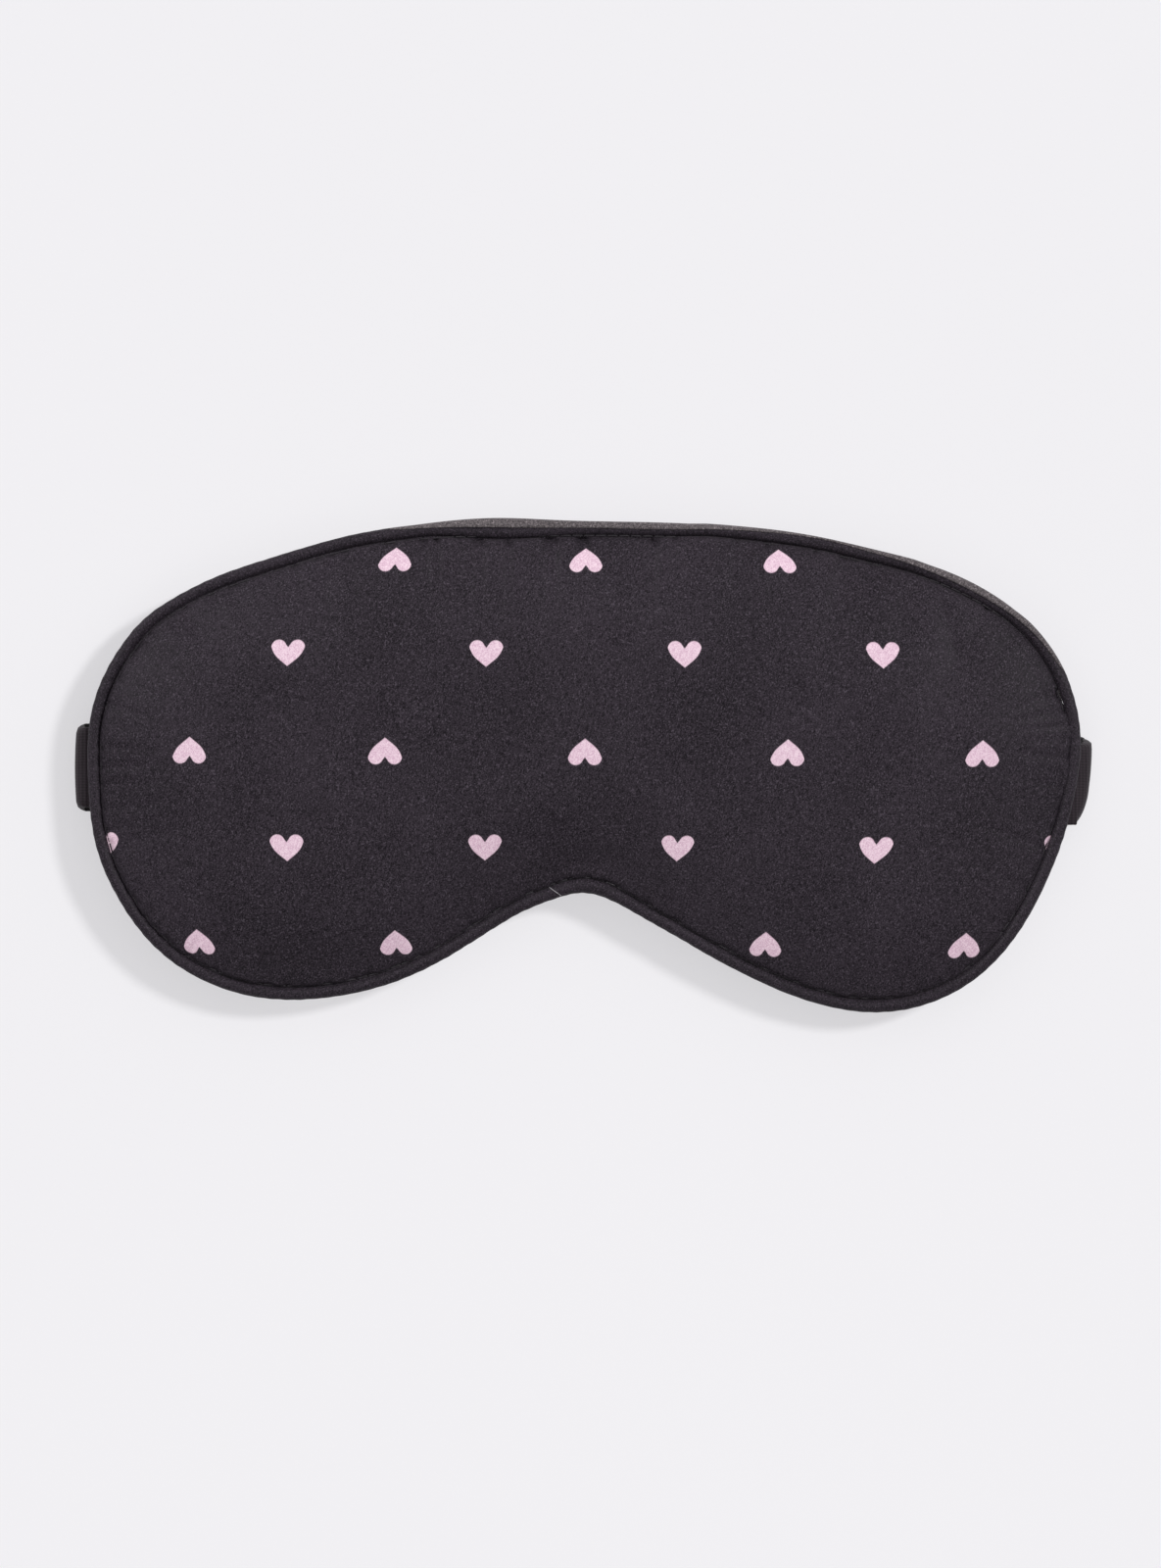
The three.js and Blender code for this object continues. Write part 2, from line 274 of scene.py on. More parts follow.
def closed_layer(columns, rows, top, bottom):
    """The closed layer between two such grids of points."""
    under = len(top)
    quads = grid_quads(columns, rows)
    index = np.arange(under).reshape(rows, columns)
    rim = np.concatenate([index[0, :-1], index[:-1, -1], index[-1, :0:-1], index[:0:-1, 0]])
    after = np.roll(rim, -1)
    wall = np.stack([rim, rim + under, after + under, after], axis=1)
    return np.concatenate([top, bottom]), np.concatenate([quads, quads[:, ::-1] + under, wall])


# ---------- Cushion sheets ----------


class Sheet:
    """A grid over the mask's outline: square rings that take the outline's shape, closer near the edge."""

    CROWDING = 1.35  # 1 spaces the rings evenly, and more crowds them towards the edge

    def __init__(self, half, reach=0.0):
        columns, rows = np.meshgrid(np.arange(-half, half + 1), np.arange(-half, half + 1))
        ring = np.maximum(abs(columns), abs(rows))
        walk = np.select(
            [columns == ring, rows == ring, columns == -ring],
            [ring + rows, 3 * ring - columns, 5 * ring - rows],
            7 * ring + columns,
        )
        corner = -1 / 8  # the grid's lower right corner, as a turn from the right temple
        turn = (walk / np.maximum(8 * ring, 1) + corner).ravel()
        share = 1 - (1 - ring.ravel() / half) ** self.CROWDING
        edge = seam.at(turn) + reach * outward(turn)
        self.side = 2 * half + 1
        self.plan = MIDDLE + (edge - MIDDLE) * share[:, None]
        self.inside, self.turn = beside_seam(self.plan)

    def layer(self, plan, top, bottom):
        """The closed layer between two heights over the grid's own plan, or a plan moved a little from it."""
        return closed_layer(self.side, self.side, raised(plan, top), raised(plan, bottom))


FRONT_RISE = 8.0 * MM
BACK_RISE = 4.0 * MM
SHOULDER = 31 * MM  # how far in from the seam the cushion is fully lofted
# 0.5 lofts the cushion like an ellipse; more makes it leave the seam less steeply.
PUFF = {"brow": 0.6, "lobes": 0.9, "nose": 1.0}
LIP = {"rise": 0.6 * MM, "width": 1.2 * MM}  # the rounded fold the satin makes right at the seam
NOSE_DIP = {"depth": 1.0 * MM, "width": 8 * MM}  # the hollow above the nose notch
NOSE_VALLEY = {"depth": 0.12, "width": 16 * MM}  # the cushion is thinner over the nose bridge
NOSE_SHOULDER = {"share": 0.38, "width": 24 * MM}  # and it is fully lofted that much sooner from the notch
SLACK_STEPS = 60
SEAM_HALF_GAP = 0.45 * MM  # from the seam's plane to either panel
SATIN = 0.4 * MM  # the satin's thickness


def puff(turn):
    """How steeply the cushion leaves the seam at each turn."""
    x, y = seam.at(turn).T
    even = mixed(PUFF["lobes"], PUFF["brow"], smooth(-20 * MM, 20 * MM, y))
    return mixed(even, PUFF["nose"], bump(x, 0, 30 * MM) * (y < 0))


def shoulder(turn):
    x, y = seam.at(turn).T
    return SHOULDER * (1 - NOSE_SHOULDER["share"] * bump(x, 0, NOSE_SHOULDER["width"]) * (y < 0))


def loft(sheet, rise, start=0.0):
    """The cushion's height. It begins to rise at start, measured in from the seam."""
    share = np.clip((sheet.inside - start) / shoulder(sheet.turn), 0, 1)
    valley = 1 - NOSE_VALLEY["depth"] * bump(sheet.plan[:, 0], 0, NOSE_VALLEY["width"])
    dip = bump(np.linalg.norm(sheet.plan - nose_notch(), axis=1), 0, NOSE_DIP["width"])
    profile = (1 - (1 - share) ** 2) ** puff(sheet.turn)
    lip = LIP["rise"] * rounded((sheet.inside - start) / LIP["width"])
    hollow = NOSE_DIP["depth"] * dip * (rise / FRONT_RISE) * smooth(0, 0.3, share)
    return lip + (rise - LIP["rise"]) * valley * profile - hollow


def slack(sheet, rise):
    """About how much further it is from each point to the crown over the cushion than in plan."""
    share = np.clip(sheet.inside / SHOULDER, 0, 1)
    power = puff(sheet.turn)
    total = np.zeros(len(share))
    for step in range(SLACK_STEPS):
        this, after = (mixed(share, 1.0, (step + k) / SLACK_STEPS) for k in (0, 1))
        climb = rise * ((1 - (1 - after) ** 2) ** power - (1 - (1 - this) ** 2) ** power)
        run = (after - this) * SHOULDER
        total += np.hypot(run, climb) - run
    return total


def nose_notch():
    """The highest point of the seam's lower edge near the middle."""
    low = seam_points[(abs(seam_points[:, 0]) < 20 * MM) & (seam_points[:, 1] < 0)]
    return low[low[:, 1].argmax()]


# Soft creases in the front: where each starts and ends, its half width and its depth, in mm.
CREASES = [
    {"start": (1.8, -26), "end": (6, 24), "width": 5, "depth": 0.85},
    {"start": (74.1, 42), "end": (79.3, 23), "width": 1.8, "depth": 0.5},
    {"start": (79.3, 23), "end": (75.8, 5), "width": 5, "depth": 0.8},
    {"start": (31.9, 44), "end": (31.9, 2), "width": 4, "depth": 0.3},
    {"start": (-84, 34), "end": (-66, 14), "width": 5, "depth": 0.6},
]


def crease(plan, start, end, width, depth):
    start, end = np.array(start) * MM, np.array(end) * MM
    along = end - start
    share = ((plan - start) @ along) / (along @ along)
    nearest = start + np.clip(share, 0, 1)[:, None] * along
    distance = np.linalg.norm(plan - nearest, axis=1)
    return -depth * MM * bump(distance, 0, width * MM)


def brow_share(turn):
    """1 along the gathered stretch of the brow, 0 elsewhere."""
    x, y = seam.at(turn).T
    return smooth(0, 20 * MM, y) * smooth(-48 * MM, -28 * MM, x) * (1 - smooth(44 * MM, 62 * MM, x))


def gathers(turn):
    """Narrow tucks along the seam: 0 in the arches between them, up to 1 in the deepest."""
    return np.clip(1.6 * ripples(seam_length, 1.5 * MM, 8).at(turn), 0, 1) ** 1.5


# How high the waves beside the seam are and how deep its tucks, away from the gathers and in them, in mm.
WAVE = (0.08, 0.32)
TUCK = (0.1, 0.6)
PUCKER_REACH = (2.5, 9.0)  # the shortest and the longest, in mm


def puckers(sheet):
    """Valleys that run in from the tucks and die away, and broader waves."""
    broad = ripples(seam_length, 6.5 * MM, 4).at(sheet.turn)
    reach = mixed(*PUCKER_REACH, 0.5 + 0.5 * ripples(seam_length, 5 * MM, 5).at(sheet.turn)) * MM
    gather = brow_share(sheet.turn)
    height = mixed(*WAVE, gather) * broad - mixed(*TUCK, gather) * gathers(sheet.turn)
    inside = np.maximum(sheet.inside, 0)
    return MM * height * np.exp(-inside / np.maximum(reach, 1.5 * MM)) * smooth(0, 0.8 * MM, inside)


def swell(plan, waves):
    """Broad unevenness of the wadding, as a sum of waves given by height and size, in mm, and seed."""
    return sum(height * MM * soft_noise(plan, size * MM, seed) for height, size, seed in waves)


# ---------- Cloth simulation ----------

# A panel is cut a little too large, held along the seam and blown up gently from inside. Only a share of its
# movement is kept, up to the cap.
CLOTH = {
    "half": 44,
    "frames": 20,
    "pressure": 20.0,
    "oversize": 0.006,
    "vertex_mass": 0.003,
    "bending": 0.1,
    "kept": 0.4,
    "cap": 1.0 * MM,
}


def held_cloth(sheet, height):
    """A piece of cloth over the sheet's points, held along the seam."""
    mesh = bpy.data.meshes.new("cloth")
    mesh.from_pydata(raised(sheet.plan, height).tolist(), [], grid_quads(sheet.side, sheet.side).tolist())
    cloth = bpy.data.objects.new("cloth", mesh)
    bpy.context.scene.collection.objects.link(cloth)
    held = cloth.vertex_groups.new(name="held")
    held.add(np.flatnonzero(sheet.inside < 0.3 * MM).tolist(), 1.0, "REPLACE")
    modifier = cloth.modifiers.new("cloth", "CLOTH")
    modifier.point_cache.frame_end = CLOTH["frames"]
    modifier.collision_settings.use_collision = False
    settings = modifier.settings
    settings.vertex_group_mass = "held"
    settings.mass = CLOTH["vertex_mass"]
    settings.use_pressure = True
    settings.uniform_pressure_force = CLOTH["pressure"]
    settings.shrink_min = -CLOTH["oversize"]
    settings.bending_stiffness = CLOTH["bending"]
    settings.effector_weights.gravity = 0
    return cloth


def settled(rise):
    """How far a short cloth simulation moves each point of a panel up or down, as a square grid."""
    sheet = Sheet(CLOTH["half"])
    height = loft(sheet, rise)
    cloth = held_cloth(sheet, height)
    for frame_number in range(1, CLOTH["frames"] + 1):
        bpy.context.scene.frame_set(frame_number)
    shape = cloth.evaluated_get(bpy.context.evaluated_depsgraph_get()).to_mesh()
    points = np.empty(len(shape.vertices) * 3)
    shape.vertices.foreach_get("co", points)
    moved = CLOTH["kept"] * (points.reshape(-1, 3)[:, 2] - height)
    bpy.data.objects.remove(cloth)
    bpy.context.scene.frame_set(1)
    return CLOTH["cap"] * np.tanh(moved / CLOTH["cap"]).reshape(sheet.side, sheet.side)


def resampled(grid, side):
    """A square grid of values, smoothly resampled to that many points a side."""
    old = len(grid)
    position = np.linspace(0, old - 1, side)[:, None]
    gap = abs(position - np.arange(old))
    close = 1 - 2.5 * gap**2 + 1.5 * gap**3
    further = 2 - 4 * gap + 2.5 * gap**2 - 0.5 * gap**3
    weight = np.where(gap < 1, close, np.where(gap < 2, further, 0))
    weight /= weight.sum(axis=1, keepdims=True)
    return (weight @ grid @ weight.T).ravel()


# ---------- Shader nodes ----------


class Value:
    """A shader socket that arithmetic can be written with."""

    def __init__(self, tree, socket):
        self.tree = tree
        self.socket = socket

    def math(self, operation, *others):
        made = self.tree.nodes.new("ShaderNodeMath")
        made.operation = operation
        for slot, value in zip(made.inputs, (self, *others)):
            connect(self.tree, slot, value)
        return Value(self.tree, made.outputs[0])

    def __add__(self, other):
        return self.math("ADD", other)

    def __sub__(self, other):
        return self.math("SUBTRACT", other)

    def __mul__(self, other):
        return self.math("MULTIPLY", other)

    def __truediv__(self, other):
        return self.math("DIVIDE", other)

    def rounded(self):
        return self.math("ROUND")

    def stepped(self, low, high):
        """0 below low, 1 above high, smooth between."""
        made = self.tree.nodes.new("ShaderNodeMapRange")
        made.interpolation_type = "SMOOTHSTEP"
        for name, value in {"Value": self, "From Min": low, "From Max": high}.items():
            connect(self.tree, made.inputs[name], value)
        return Value(self.tree, made.outputs[0])


def connect(tree, slot, value):
    if isinstance(value, Value):
        tree.links.new(value.socket, slot)
    else:
        slot.default_value = value


class Finish:
    """A material under construction."""

    def __init__(self, name, **settings):
        self.material = bpy.data.materials.new(name)
        self.material.use_nodes = True
        self.tree = self.material.node_tree
        self.surface = self.tree.nodes["Principled BSDF"]
        for key, value in settings.items():
            self.set(key.replace("_", " "), value)

    def set(self, name, value):
        connect(self.tree, self.surface.inputs[name], value)

    def node(self, kind, output, **inputs):
        made = self.tree.nodes.new(kind)
        for name, value in inputs.items():
            connect(self.tree, made.inputs[name.replace("_", " ")], value)
        return Value(self.tree, made.outputs[output])

    def place(self, kind="Object"):
        """X, Y and Z of the point being shaded, in metres."""
        source = self.node("ShaderNodeTexCoord", kind)
        split = self.tree.nodes.new("ShaderNodeSeparateXYZ")
        self.tree.links.new(source.socket, split.inputs[0])
        return [Value(self.tree, output) for output in split.outputs]

    def noise(self, size, detail=2.0, stretch=(1, 1, 1), turn=0.0, kind="Object"):
        """Noise from 0 to 1 with features of that size. stretch makes them longer along each axis."""
        source = self.node("ShaderNodeTexCoord", kind)
        mapping = self.tree.nodes.new("ShaderNodeMapping")
        mapping.vector_type = "TEXTURE"
        mapping.inputs["Rotation"].default_value = (0, 0, turn)
        mapping.inputs["Scale"].default_value = [size * s for s in stretch]
        self.tree.links.new(source.socket, mapping.inputs["Vector"])
        vector = Value(self.tree, mapping.outputs[0])
        return self.node("ShaderNodeTexNoise", 0, Vector=vector, Scale=1.0, Detail=detail)

    def mix(self, share, first, second):
        made = self.tree.nodes.new("ShaderNodeMix")
        made.data_type = "RGBA"
        connect(self.tree, made.inputs["Factor"], share)
        connect(self.tree, made.inputs["A"], first)
        connect(self.tree, made.inputs["B"], second)
        return Value(self.tree, made.outputs["Result"])

    def colour(self, share, dark, light):
        self.set("Base Color", self.mix(share, dark, light))

    def raised(self, height, distance):
        """Bumps the surface by a height from 0 to 1 times a distance."""
        self.set("Normal", self.node("ShaderNodeBump", 0, Height=height, Distance=distance, Strength=1.0))


def rgb(red, green, blue):
    """A colour from its eight-bit sRGB values."""
    linear = [((c / 255 + 0.055) / 1.055) ** 2.4 if c > 10 else c / 255 / 12.92 for c in (red, green, blue)]
    return (*linear, 1.0)


TWILL_TURN = math.radians(18)  # the satin's warp floats lean this far from +Y


def satin_grain(finish, kind="Object"):
    """The satin's thread pattern, 0 to 1: fine grain, warp floats, painted glints as bright specks, and slow
    changes of tone.
    """
    grain = finish.noise(0.24 * MM, 0.0, kind=kind)
    floats = finish.noise(0.34 * MM, 1.0, stretch=(1, 3, 1), turn=-TWILL_TURN, kind=kind)
    # Painted glints: bright specks that stand for light catching single floats of the satin.
    painted_glints = finish.noise(0.3 * MM, 0.0, stretch=(1, 1.4, 1), turn=-TWILL_TURN, kind=kind).stepped(0.6, 0.78)
    tone = finish.noise(22 * MM, 1.0, kind=kind)
    share = (grain * 0.5 + floats * 0.4 + tone * 0.14).stepped(0.325, 0.725)
    return share, painted_glints, grain * 0.5 + floats * 0.5


# ---------- The heart print ----------

PRINT = {"pitch": 42.4 * MM, "row": 20.7 * MM, "x": -0.1 * MM, "y": 3.3 * MM, "turn": math.radians(-0.25)}
PRINT_NARROWING = 16  # gathered cloth: the pitch shrinks by this much times the height squared, in 1/m2
HEART_HALF_WIDTH = 3.6 * MM
# Where the sewn cloth is pulled sideways: x, y, how far to the left, and over what half length, in mm.
PULLS = [
    (38, -40, 2.9, 25),
    (74, -24, 1.2, 28),
    (-40, -42, -1.7, 15),
    (18, -17, 0.8, 12),
    (101, -15, 2.6, 8),
    (-101, -16, -1.6, 8),
    (43, 3, -0.9, 12),
    (-84, 4, -0.9, 12),
    (-40, 44, -0.7, 12),
]


def pulled(plan):
    """The place on the print that each plan point shows, before the cushion's own slack."""
    moved = plan.copy()
    for x, y, left, spread in PULLS:
        moved[:, 0] += left * MM * near(plan, x, y, spread)
    return moved


def heart_print(finish):
    """1 inside a heart and 0 outside. The hearts stand in staggered rows, every other one upside down."""
    x, y, _ = finish.place("UV")
    cos, sin = math.cos(PRINT["turn"]), math.sin(PRINT["turn"])
    level = y * cos - x * sin - PRINT["y"]
    across = (x * cos + y * sin - PRINT["x"]) * (level * level * PRINT_NARROWING + 1.0) / PRINT["pitch"]
    up = level / PRINT["row"]
    row = up.rounded()
    upright = row.math("MODULO", 2.0).math("ABSOLUTE")
    across = across + upright * 0.5
    right = (across - across.rounded()).math("ABSOLUTE") * (PRINT["pitch"] / HEART_HALF_WIDTH)
    above = (up - row) * (upright * 2.0 - 1.0) * (PRINT["row"] / HEART_HALF_WIDTH)
    return heart(right, above)


def heart(right, above):
    """A heart of half width 1: round lobes either side of a notch, over sides that curve in to a point. Right
    is the distance from its upright middle line, and above is the height over its middle."""
    tip, lobe_level, lobe_middle, lobe_radius = -0.77, 0.34, 0.55, 0.45
    beside = right - lobe_middle
    lobe = (beside * beside * -1.0 + lobe_radius**2).math("MAXIMUM", 0.0).math("SQRT")
    notch = (right * 1.3).math("MINIMUM", right * -0.7 + 0.4)
    top = (above - lobe_level - lobe.math("MAXIMUM", notch)).stepped(0.05, -0.05)
    sides = (above - tip - right * 0.8 - right.math("POWER", 6.0) * 0.355).stepped(-0.05, 0.05)
    return top * sides


def printed_satin():
    finish = Finish("printed_satin", Sheen_Weight=0.04, Sheen_Roughness=0.4, Specular_IOR_Level=0.1)
    share, painted_glints, height = satin_grain(finish)
    # The pale colour mixed in at the painted glints is a painted highlight.
    cloth = finish.mix(painted_glints * 0.35, finish.mix(share, rgb(23, 19, 24), rgb(61, 54, 62)), rgb(108, 99, 110))
    ink = finish.mix(share, rgb(216, 180, 200), rgb(248, 222, 234))
    finish.set("Base Color", finish.mix(heart_print(finish), cloth, ink))
    finish.set("Roughness", share * 0.15 + 0.5)
    finish.raised(height, 0.04 * MM)
    return finish.material


def plain_satin(name, dark, light, kind="Object"):
    """The same satin without the print."""
    finish = Finish(name, Sheen_Weight=0.04, Sheen_Roughness=0.4, Specular_IOR_Level=0.15)
    share, painted_glints, height = satin_grain(finish, kind)
    # Painted glints: the satin's light tone made brighter still.
    glint_colour = [min(1.0, 2.2 * channel) for channel in light[:3]] + [1.0]
    finish.set("Base Color", finish.mix(painted_glints * 0.6, finish.mix(share, dark, light), glint_colour))
    finish.set("Roughness", share * 0.15 + 0.5)
    finish.raised(height, 0.04 * MM)
    return finish.material


# The elastic's inner side gets painted shade: its weave map is moved on in V by this much, and the material
# paints it dark there.
SHADED_SIDE_MARK = 60 * MM  # the weave map of the elastic's inner side lies this much further on in V


def ribbed_elastic():
    """Fine ribs across the band, and painted shade on its inner side, which stands for the shade inside the
    fold. The weave map runs along the band in U and across it in V, in metres."""
    finish = Finish("ribbed_elastic", Sheen_Weight=0.06, Specular_IOR_Level=0.2, Roughness=0.6)
    u, v, _ = finish.place("UV")
    rib = (u * (2 * math.pi / (0.75 * MM))).math("SINE") * 0.5 + 0.5
    cord = (v * (2 * math.pi / (0.6 * MM))).math("SINE") * 0.5 + 0.5
    grain = finish.noise(0.3 * MM, 2.0, kind="UV")
    tone = finish.noise(6 * MM, 2.0, kind="UV")
    share = (rib * 0.25 + cord * 0.2 + grain * 0.4 + tone * 0.2).stepped(0.2, 0.9)
    outer = finish.mix(share, rgb(25, 18, 23), rgb(51, 42, 49))
    # Painted shade: the inner side is coloured near-black to stand for the shade inside the fold.
    inner = finish.mix(share, rgb(6, 5, 6), rgb(17, 14, 16))
    finish.set("Base Color", finish.mix(v.stepped(SHADED_SIDE_MARK * 0.4, SHADED_SIDE_MARK * 0.6), outer, inner))
    finish.raised(rib * 0.6 + cord * 0.3 + grain * 0.2, 0.06 * MM)
    return finish.material


def simple_cloth(name, dark, light, size, roughness, raise_by, stretch=(1, 1, 1)):
    """A matt fibre finish for threads, wadding, lining, cotton cord and the hook and loop tapes."""
    finish = Finish(name, Roughness=roughness, Specular_IOR_Level=0.25, Sheen_Weight=0.1)
    fibres = finish.noise(size, 3.0, stretch=stretch)
    tone = finish.noise(size * 12, 2.0)
    finish.colour((fibres * 0.7 + tone * 0.4).stepped(0.3, 0.8), dark, light)
    finish.raised(fibres, raise_by)
    return finish.material


# ---------- Front panel ----------

# Where the front's edge bulges out over the piping: x, y, how far, and over what half length, in mm.
BULGES = [(102.5, 8, 1.1, 3.4), (103, -2, 0.8, 5), (101, 15, -0.5, 2.5)]
FRONT_SWELL = [(0.7, 26, 2.5), (0.25, 11, 7.5)]
EDGE_TUCK = {"depth": 0.85 * MM, "start": -0.3 * MM, "end": 0.2 * MM}  # the front's edge dives to the seam
EDGE_FADE = 6 * MM  # how far in from the edge the cloth follows the seam's own shifts


# How far in from the seam the front begins to rise, in mm: everywhere, at the tucks and with broad waves. The
# pairs hold away from the gathers and in them.
TAKE_UP = {"even": 0.15, "tuck": (0.35, 0.9), "wave": (0.1, 0.2)}


def take_up(turn):
    """Where the front begins to rise. It changes along the edge, which scallops it."""
    broad = ripples(seam_length, 8 * MM, 9).at(turn)
    gather = brow_share(turn)
    tuck, wave = mixed(*TAKE_UP["tuck"], gather), mixed(*TAKE_UP["wave"], gather)
    return MM * (TAKE_UP["even"] + tuck * gathers(turn) + wave * broad)


def front_height(sheet):
    settling = resampled(settled(FRONT_RISE), sheet.side)
    base = seam_z + SEAM_HALF_GAP + SATIN + loft(sheet, FRONT_RISE, take_up(sheet.turn))
    past_edge = smooth(EDGE_TUCK["start"], EDGE_TUCK["end"], sheet.inside - take_up(sheet.turn))
    inner = smooth(3 * MM, 18 * MM, sheet.inside) * swell(sheet.plan, FRONT_SWELL)
    folds = sum(crease(sheet.plan, **each) for each in CREASES) * smooth(0, 4 * MM, sheet.inside)
    return base - EDGE_TUCK["depth"] * (1 - past_edge) + puckers(sheet) + inner + settling + folds


# Where the back fabric shows beyond the piping at the brow: x, half length and how much shows, in mm.
ROLLS = [(-18, 19, 2.0), (14, 17, 1.35), (82, 17, 1.6), (45, 25, 0.45)]


def roll_width(turn):
    x, y = seam.at(turn).T / MM
    return MM * sum(shown * bump(x, middle, spread) for middle, spread, shown in ROLLS) * smooth(8, 24, y)


def seam_shift(turn):
    """Where the front panel meets the piping, outside the seam line: the rolled brow pulls it in."""
    width = roll_width(turn)
    return np.minimum(0.1 * MM, 1.2 * MM - width) * smooth(0.3 * MM, 1.2 * MM, width)


def build_front():
    sheet = Sheet(110, reach=0.3 * MM)
    z = front_height(sheet)
    out = outward(sheet.turn)
    print_map = pulled(sheet.plan) + slack(sheet, FRONT_RISE)[:, None] * out
    shift = seam_shift(sheet.turn)
    for x, y, reach, spread in BULGES:
        shift = shift + reach * MM * near(sheet.plan, x, y, spread)
    plan = sheet.plan + (shift * np.exp(-np.maximum(sheet.inside, 0) / EDGE_FADE))[:, None] * out
    uv = np.concatenate([print_map, print_map])
    layer = sheet.layer(plan, z, z - SATIN)
    add_piece("front_panel_satin", *layer, printed_satin(), "printed_satin", "front_panel", uv=uv)


# ---------- Back panel ----------

POCKET = {"depth": 3.1 * MM, "half_width": 16 * MM, "fade": 8 * MM, "from": 80 * MM}
BACK_SWELL = [(0.4, 22, 12.5), (0.15, 8, 17.5)]
TABLE_GAP = 0.1 * MM


def strap_pocket(plan):
    """1 where the back panel makes room for a sewn-in strap end, 0 elsewhere."""
    middles = np.where(plan[:, 0] < 0, halves["left"].pivot[1], halves["right"].pivot[1])
    beyond = abs(plan[:, 1] - middles) - POCKET["half_width"]
    return (1 - smooth(0, POCKET["fade"], beyond)) * (abs(plan[:, 0]) > POCKET["from"])


def back_height(sheet):
    depth = SEAM_HALF_GAP + loft(sheet, BACK_RISE)
    depth = np.maximum(depth, POCKET["depth"] * strap_pocket(sheet.plan))
    settling = resampled(settled(BACK_RISE), sheet.side) * (1 - strap_pocket(sheet.plan))
    inner = smooth(2 * MM, 12 * MM, sheet.inside) * swell(sheet.plan, BACK_SWELL)
    return np.maximum(seam_z - depth - settling + inner - 0.5 * puckers(sheet), SATIN + TABLE_GAP)


def build_back(material):
    sheet = Sheet(90, reach=0.25 * MM)
    z = back_height(sheet)
    shift = seam_shift(sheet.turn) * np.exp(-sheet.inside / EDGE_FADE)
    plan = sheet.plan + outward(sheet.turn) * shift[:, None]
    whole = joined(*sheet.layer(plan, z, z - SATIN), *back_roll())
    add_piece("back_panel_satin", *whole, material, "back_satin", "back_panel")


# ---------- Piping ----------

PIPING_RADIUS = 1.32 * MM
PIPING_GAP = 0.08 * MM
PIPING_STATIONS = 1100
PIPING_LUMPS = [(9, 0.03, 21), (2.2, 0.02, 22)]  # their size in mm, their share of the radius and their seed
# Slanting strain folds: their pitch, their share of the radius, their lean, and the size of their changes.
STRAIN = {"pitch": 2.9 * MM, "share": 0.035, "lean": 1.6, "size": 12 * MM}
BUNCHING = {"x": 1.5 * MM, "share": 0.22, "spread": 7 * MM}  # the piping thickens round the nose notch


def piping_radius(turn):
    x, y = seam.at(turn).T
    return PIPING_RADIUS * (1 + BUNCHING["share"] * bump(x, BUNCHING["x"], BUNCHING["spread"]) * (y < 0))


def piping_middle(turn):
    return seam_shift(turn) + PIPING_RADIUS + PIPING_GAP


def around_seam(turn, out, rise):
    """Points beside the seam, a ring of them for each turn: out from the seam line and up from its plane."""
    plan = seam.at(turn)[:, None] + out[..., None] * outward(turn)[:, None]
    return np.concatenate([plan, (seam_z + rise)[..., None]], axis=2).reshape(-1, 3)


def build_piping(material):
    """The satin tube, a little lumpy, with slanting strain folds from the bias cut."""
    turn = turns(PIPING_STATIONS)
    angle = 2 * np.pi * turns(24)
    lumps = sum(share * ripples(seam_length, size * MM, seed).at(turn) for size, share, seed in PIPING_LUMPS)
    pull = 0.5 + 0.5 * ripples(seam_length, STRAIN["size"], 23).at(turn)
    twist = 2 * np.pi * round(seam_length / STRAIN["pitch"]) * turn
    strain = STRAIN["share"] * pull[:, None] * np.sin(twist[:, None] + STRAIN["lean"] * angle[None])
    radius = piping_radius(turn)[:, None] * (1 + lumps[:, None] + strain)
    uv = paired((turn * seam_length)[:, None], PIPING_RADIUS * angle[None])
    add_cord("piping_satin", turn, angle, radius, material, "piping_satin", "piping_cover", uv)


def add_cord(name, turn, angle, radius, material, slot, node, uv=None):
    """A closed tube in the piping's place, with its own radius at each turn and angle."""
    out = piping_middle(turn)[:, None] + radius * np.cos(angle)
    vertices = around_seam(turn, out, radius * np.sin(angle))
    faces = [face[::-1] for face in tube_faces(len(turn), len(angle), True)]
    add_piece(name, vertices, faces, material, slot, node, uv=uv)


# The roll of back fabric round the piping: its reach from the seam line, how much more it has at one place on
# the brow, given in mm, its thickness, and how much higher than the piping it stands.
ROLL = {"reach": 2.72 * MM, "more": 0.95 * MM, "x": -19, "spread": 13, "skin": 0.25 * MM, "rise": 0.3 * MM}
LEAST_ROLL = 0.04 * MM  # it ends where less than this would show


def back_roll():
    """The edge of the back fabric, wrapped up over the piping's outer side where roll_width says."""
    kept = np.flatnonzero(roll_width(turns(PIPING_STATIONS)) > LEAST_ROLL)
    breaks = np.flatnonzero(np.diff(kept) > 1)
    start = kept[breaks[0] + 1] if len(breaks) else kept[0]
    turn = np.mod(start + np.arange(len(kept)), PIPING_STATIONS) / PIPING_STATIONS
    width = roll_width(turn)
    middle = piping_middle(turn)
    x, y = seam.at(turn).T / MM
    outside = ROLL["reach"] + ROLL["more"] * bump(x, ROLL["x"], ROLL["spread"]) * (y > 0)
    reach = np.maximum(outside - middle, PIPING_RADIUS + 0.1 * MM)
    crest = np.arccos(np.clip((outside - width - middle) / reach, -0.2, 1))
    lowest = -np.pi / 2
    crest = mixed(lowest + 0.3, crest, smooth(LEAST_ROLL, 0.6 * MM, width))
    steps = 12
    angle = lowest + (crest - lowest)[:, None] * np.linspace(0, 1, steps)
    angle = np.concatenate([angle, angle[:, ::-1]], axis=1)
    inset = np.repeat([0, ROLL["skin"]], steps)
    out = middle[:, None] + (reach[:, None] - inset) * np.cos(angle)
    rise = (PIPING_RADIUS + ROLL["rise"] - inset) * np.sin(angle)
    return around_seam(turn, out, rise), tube_faces(len(turn), 2 * steps, False)


# ---------- Strap ----------


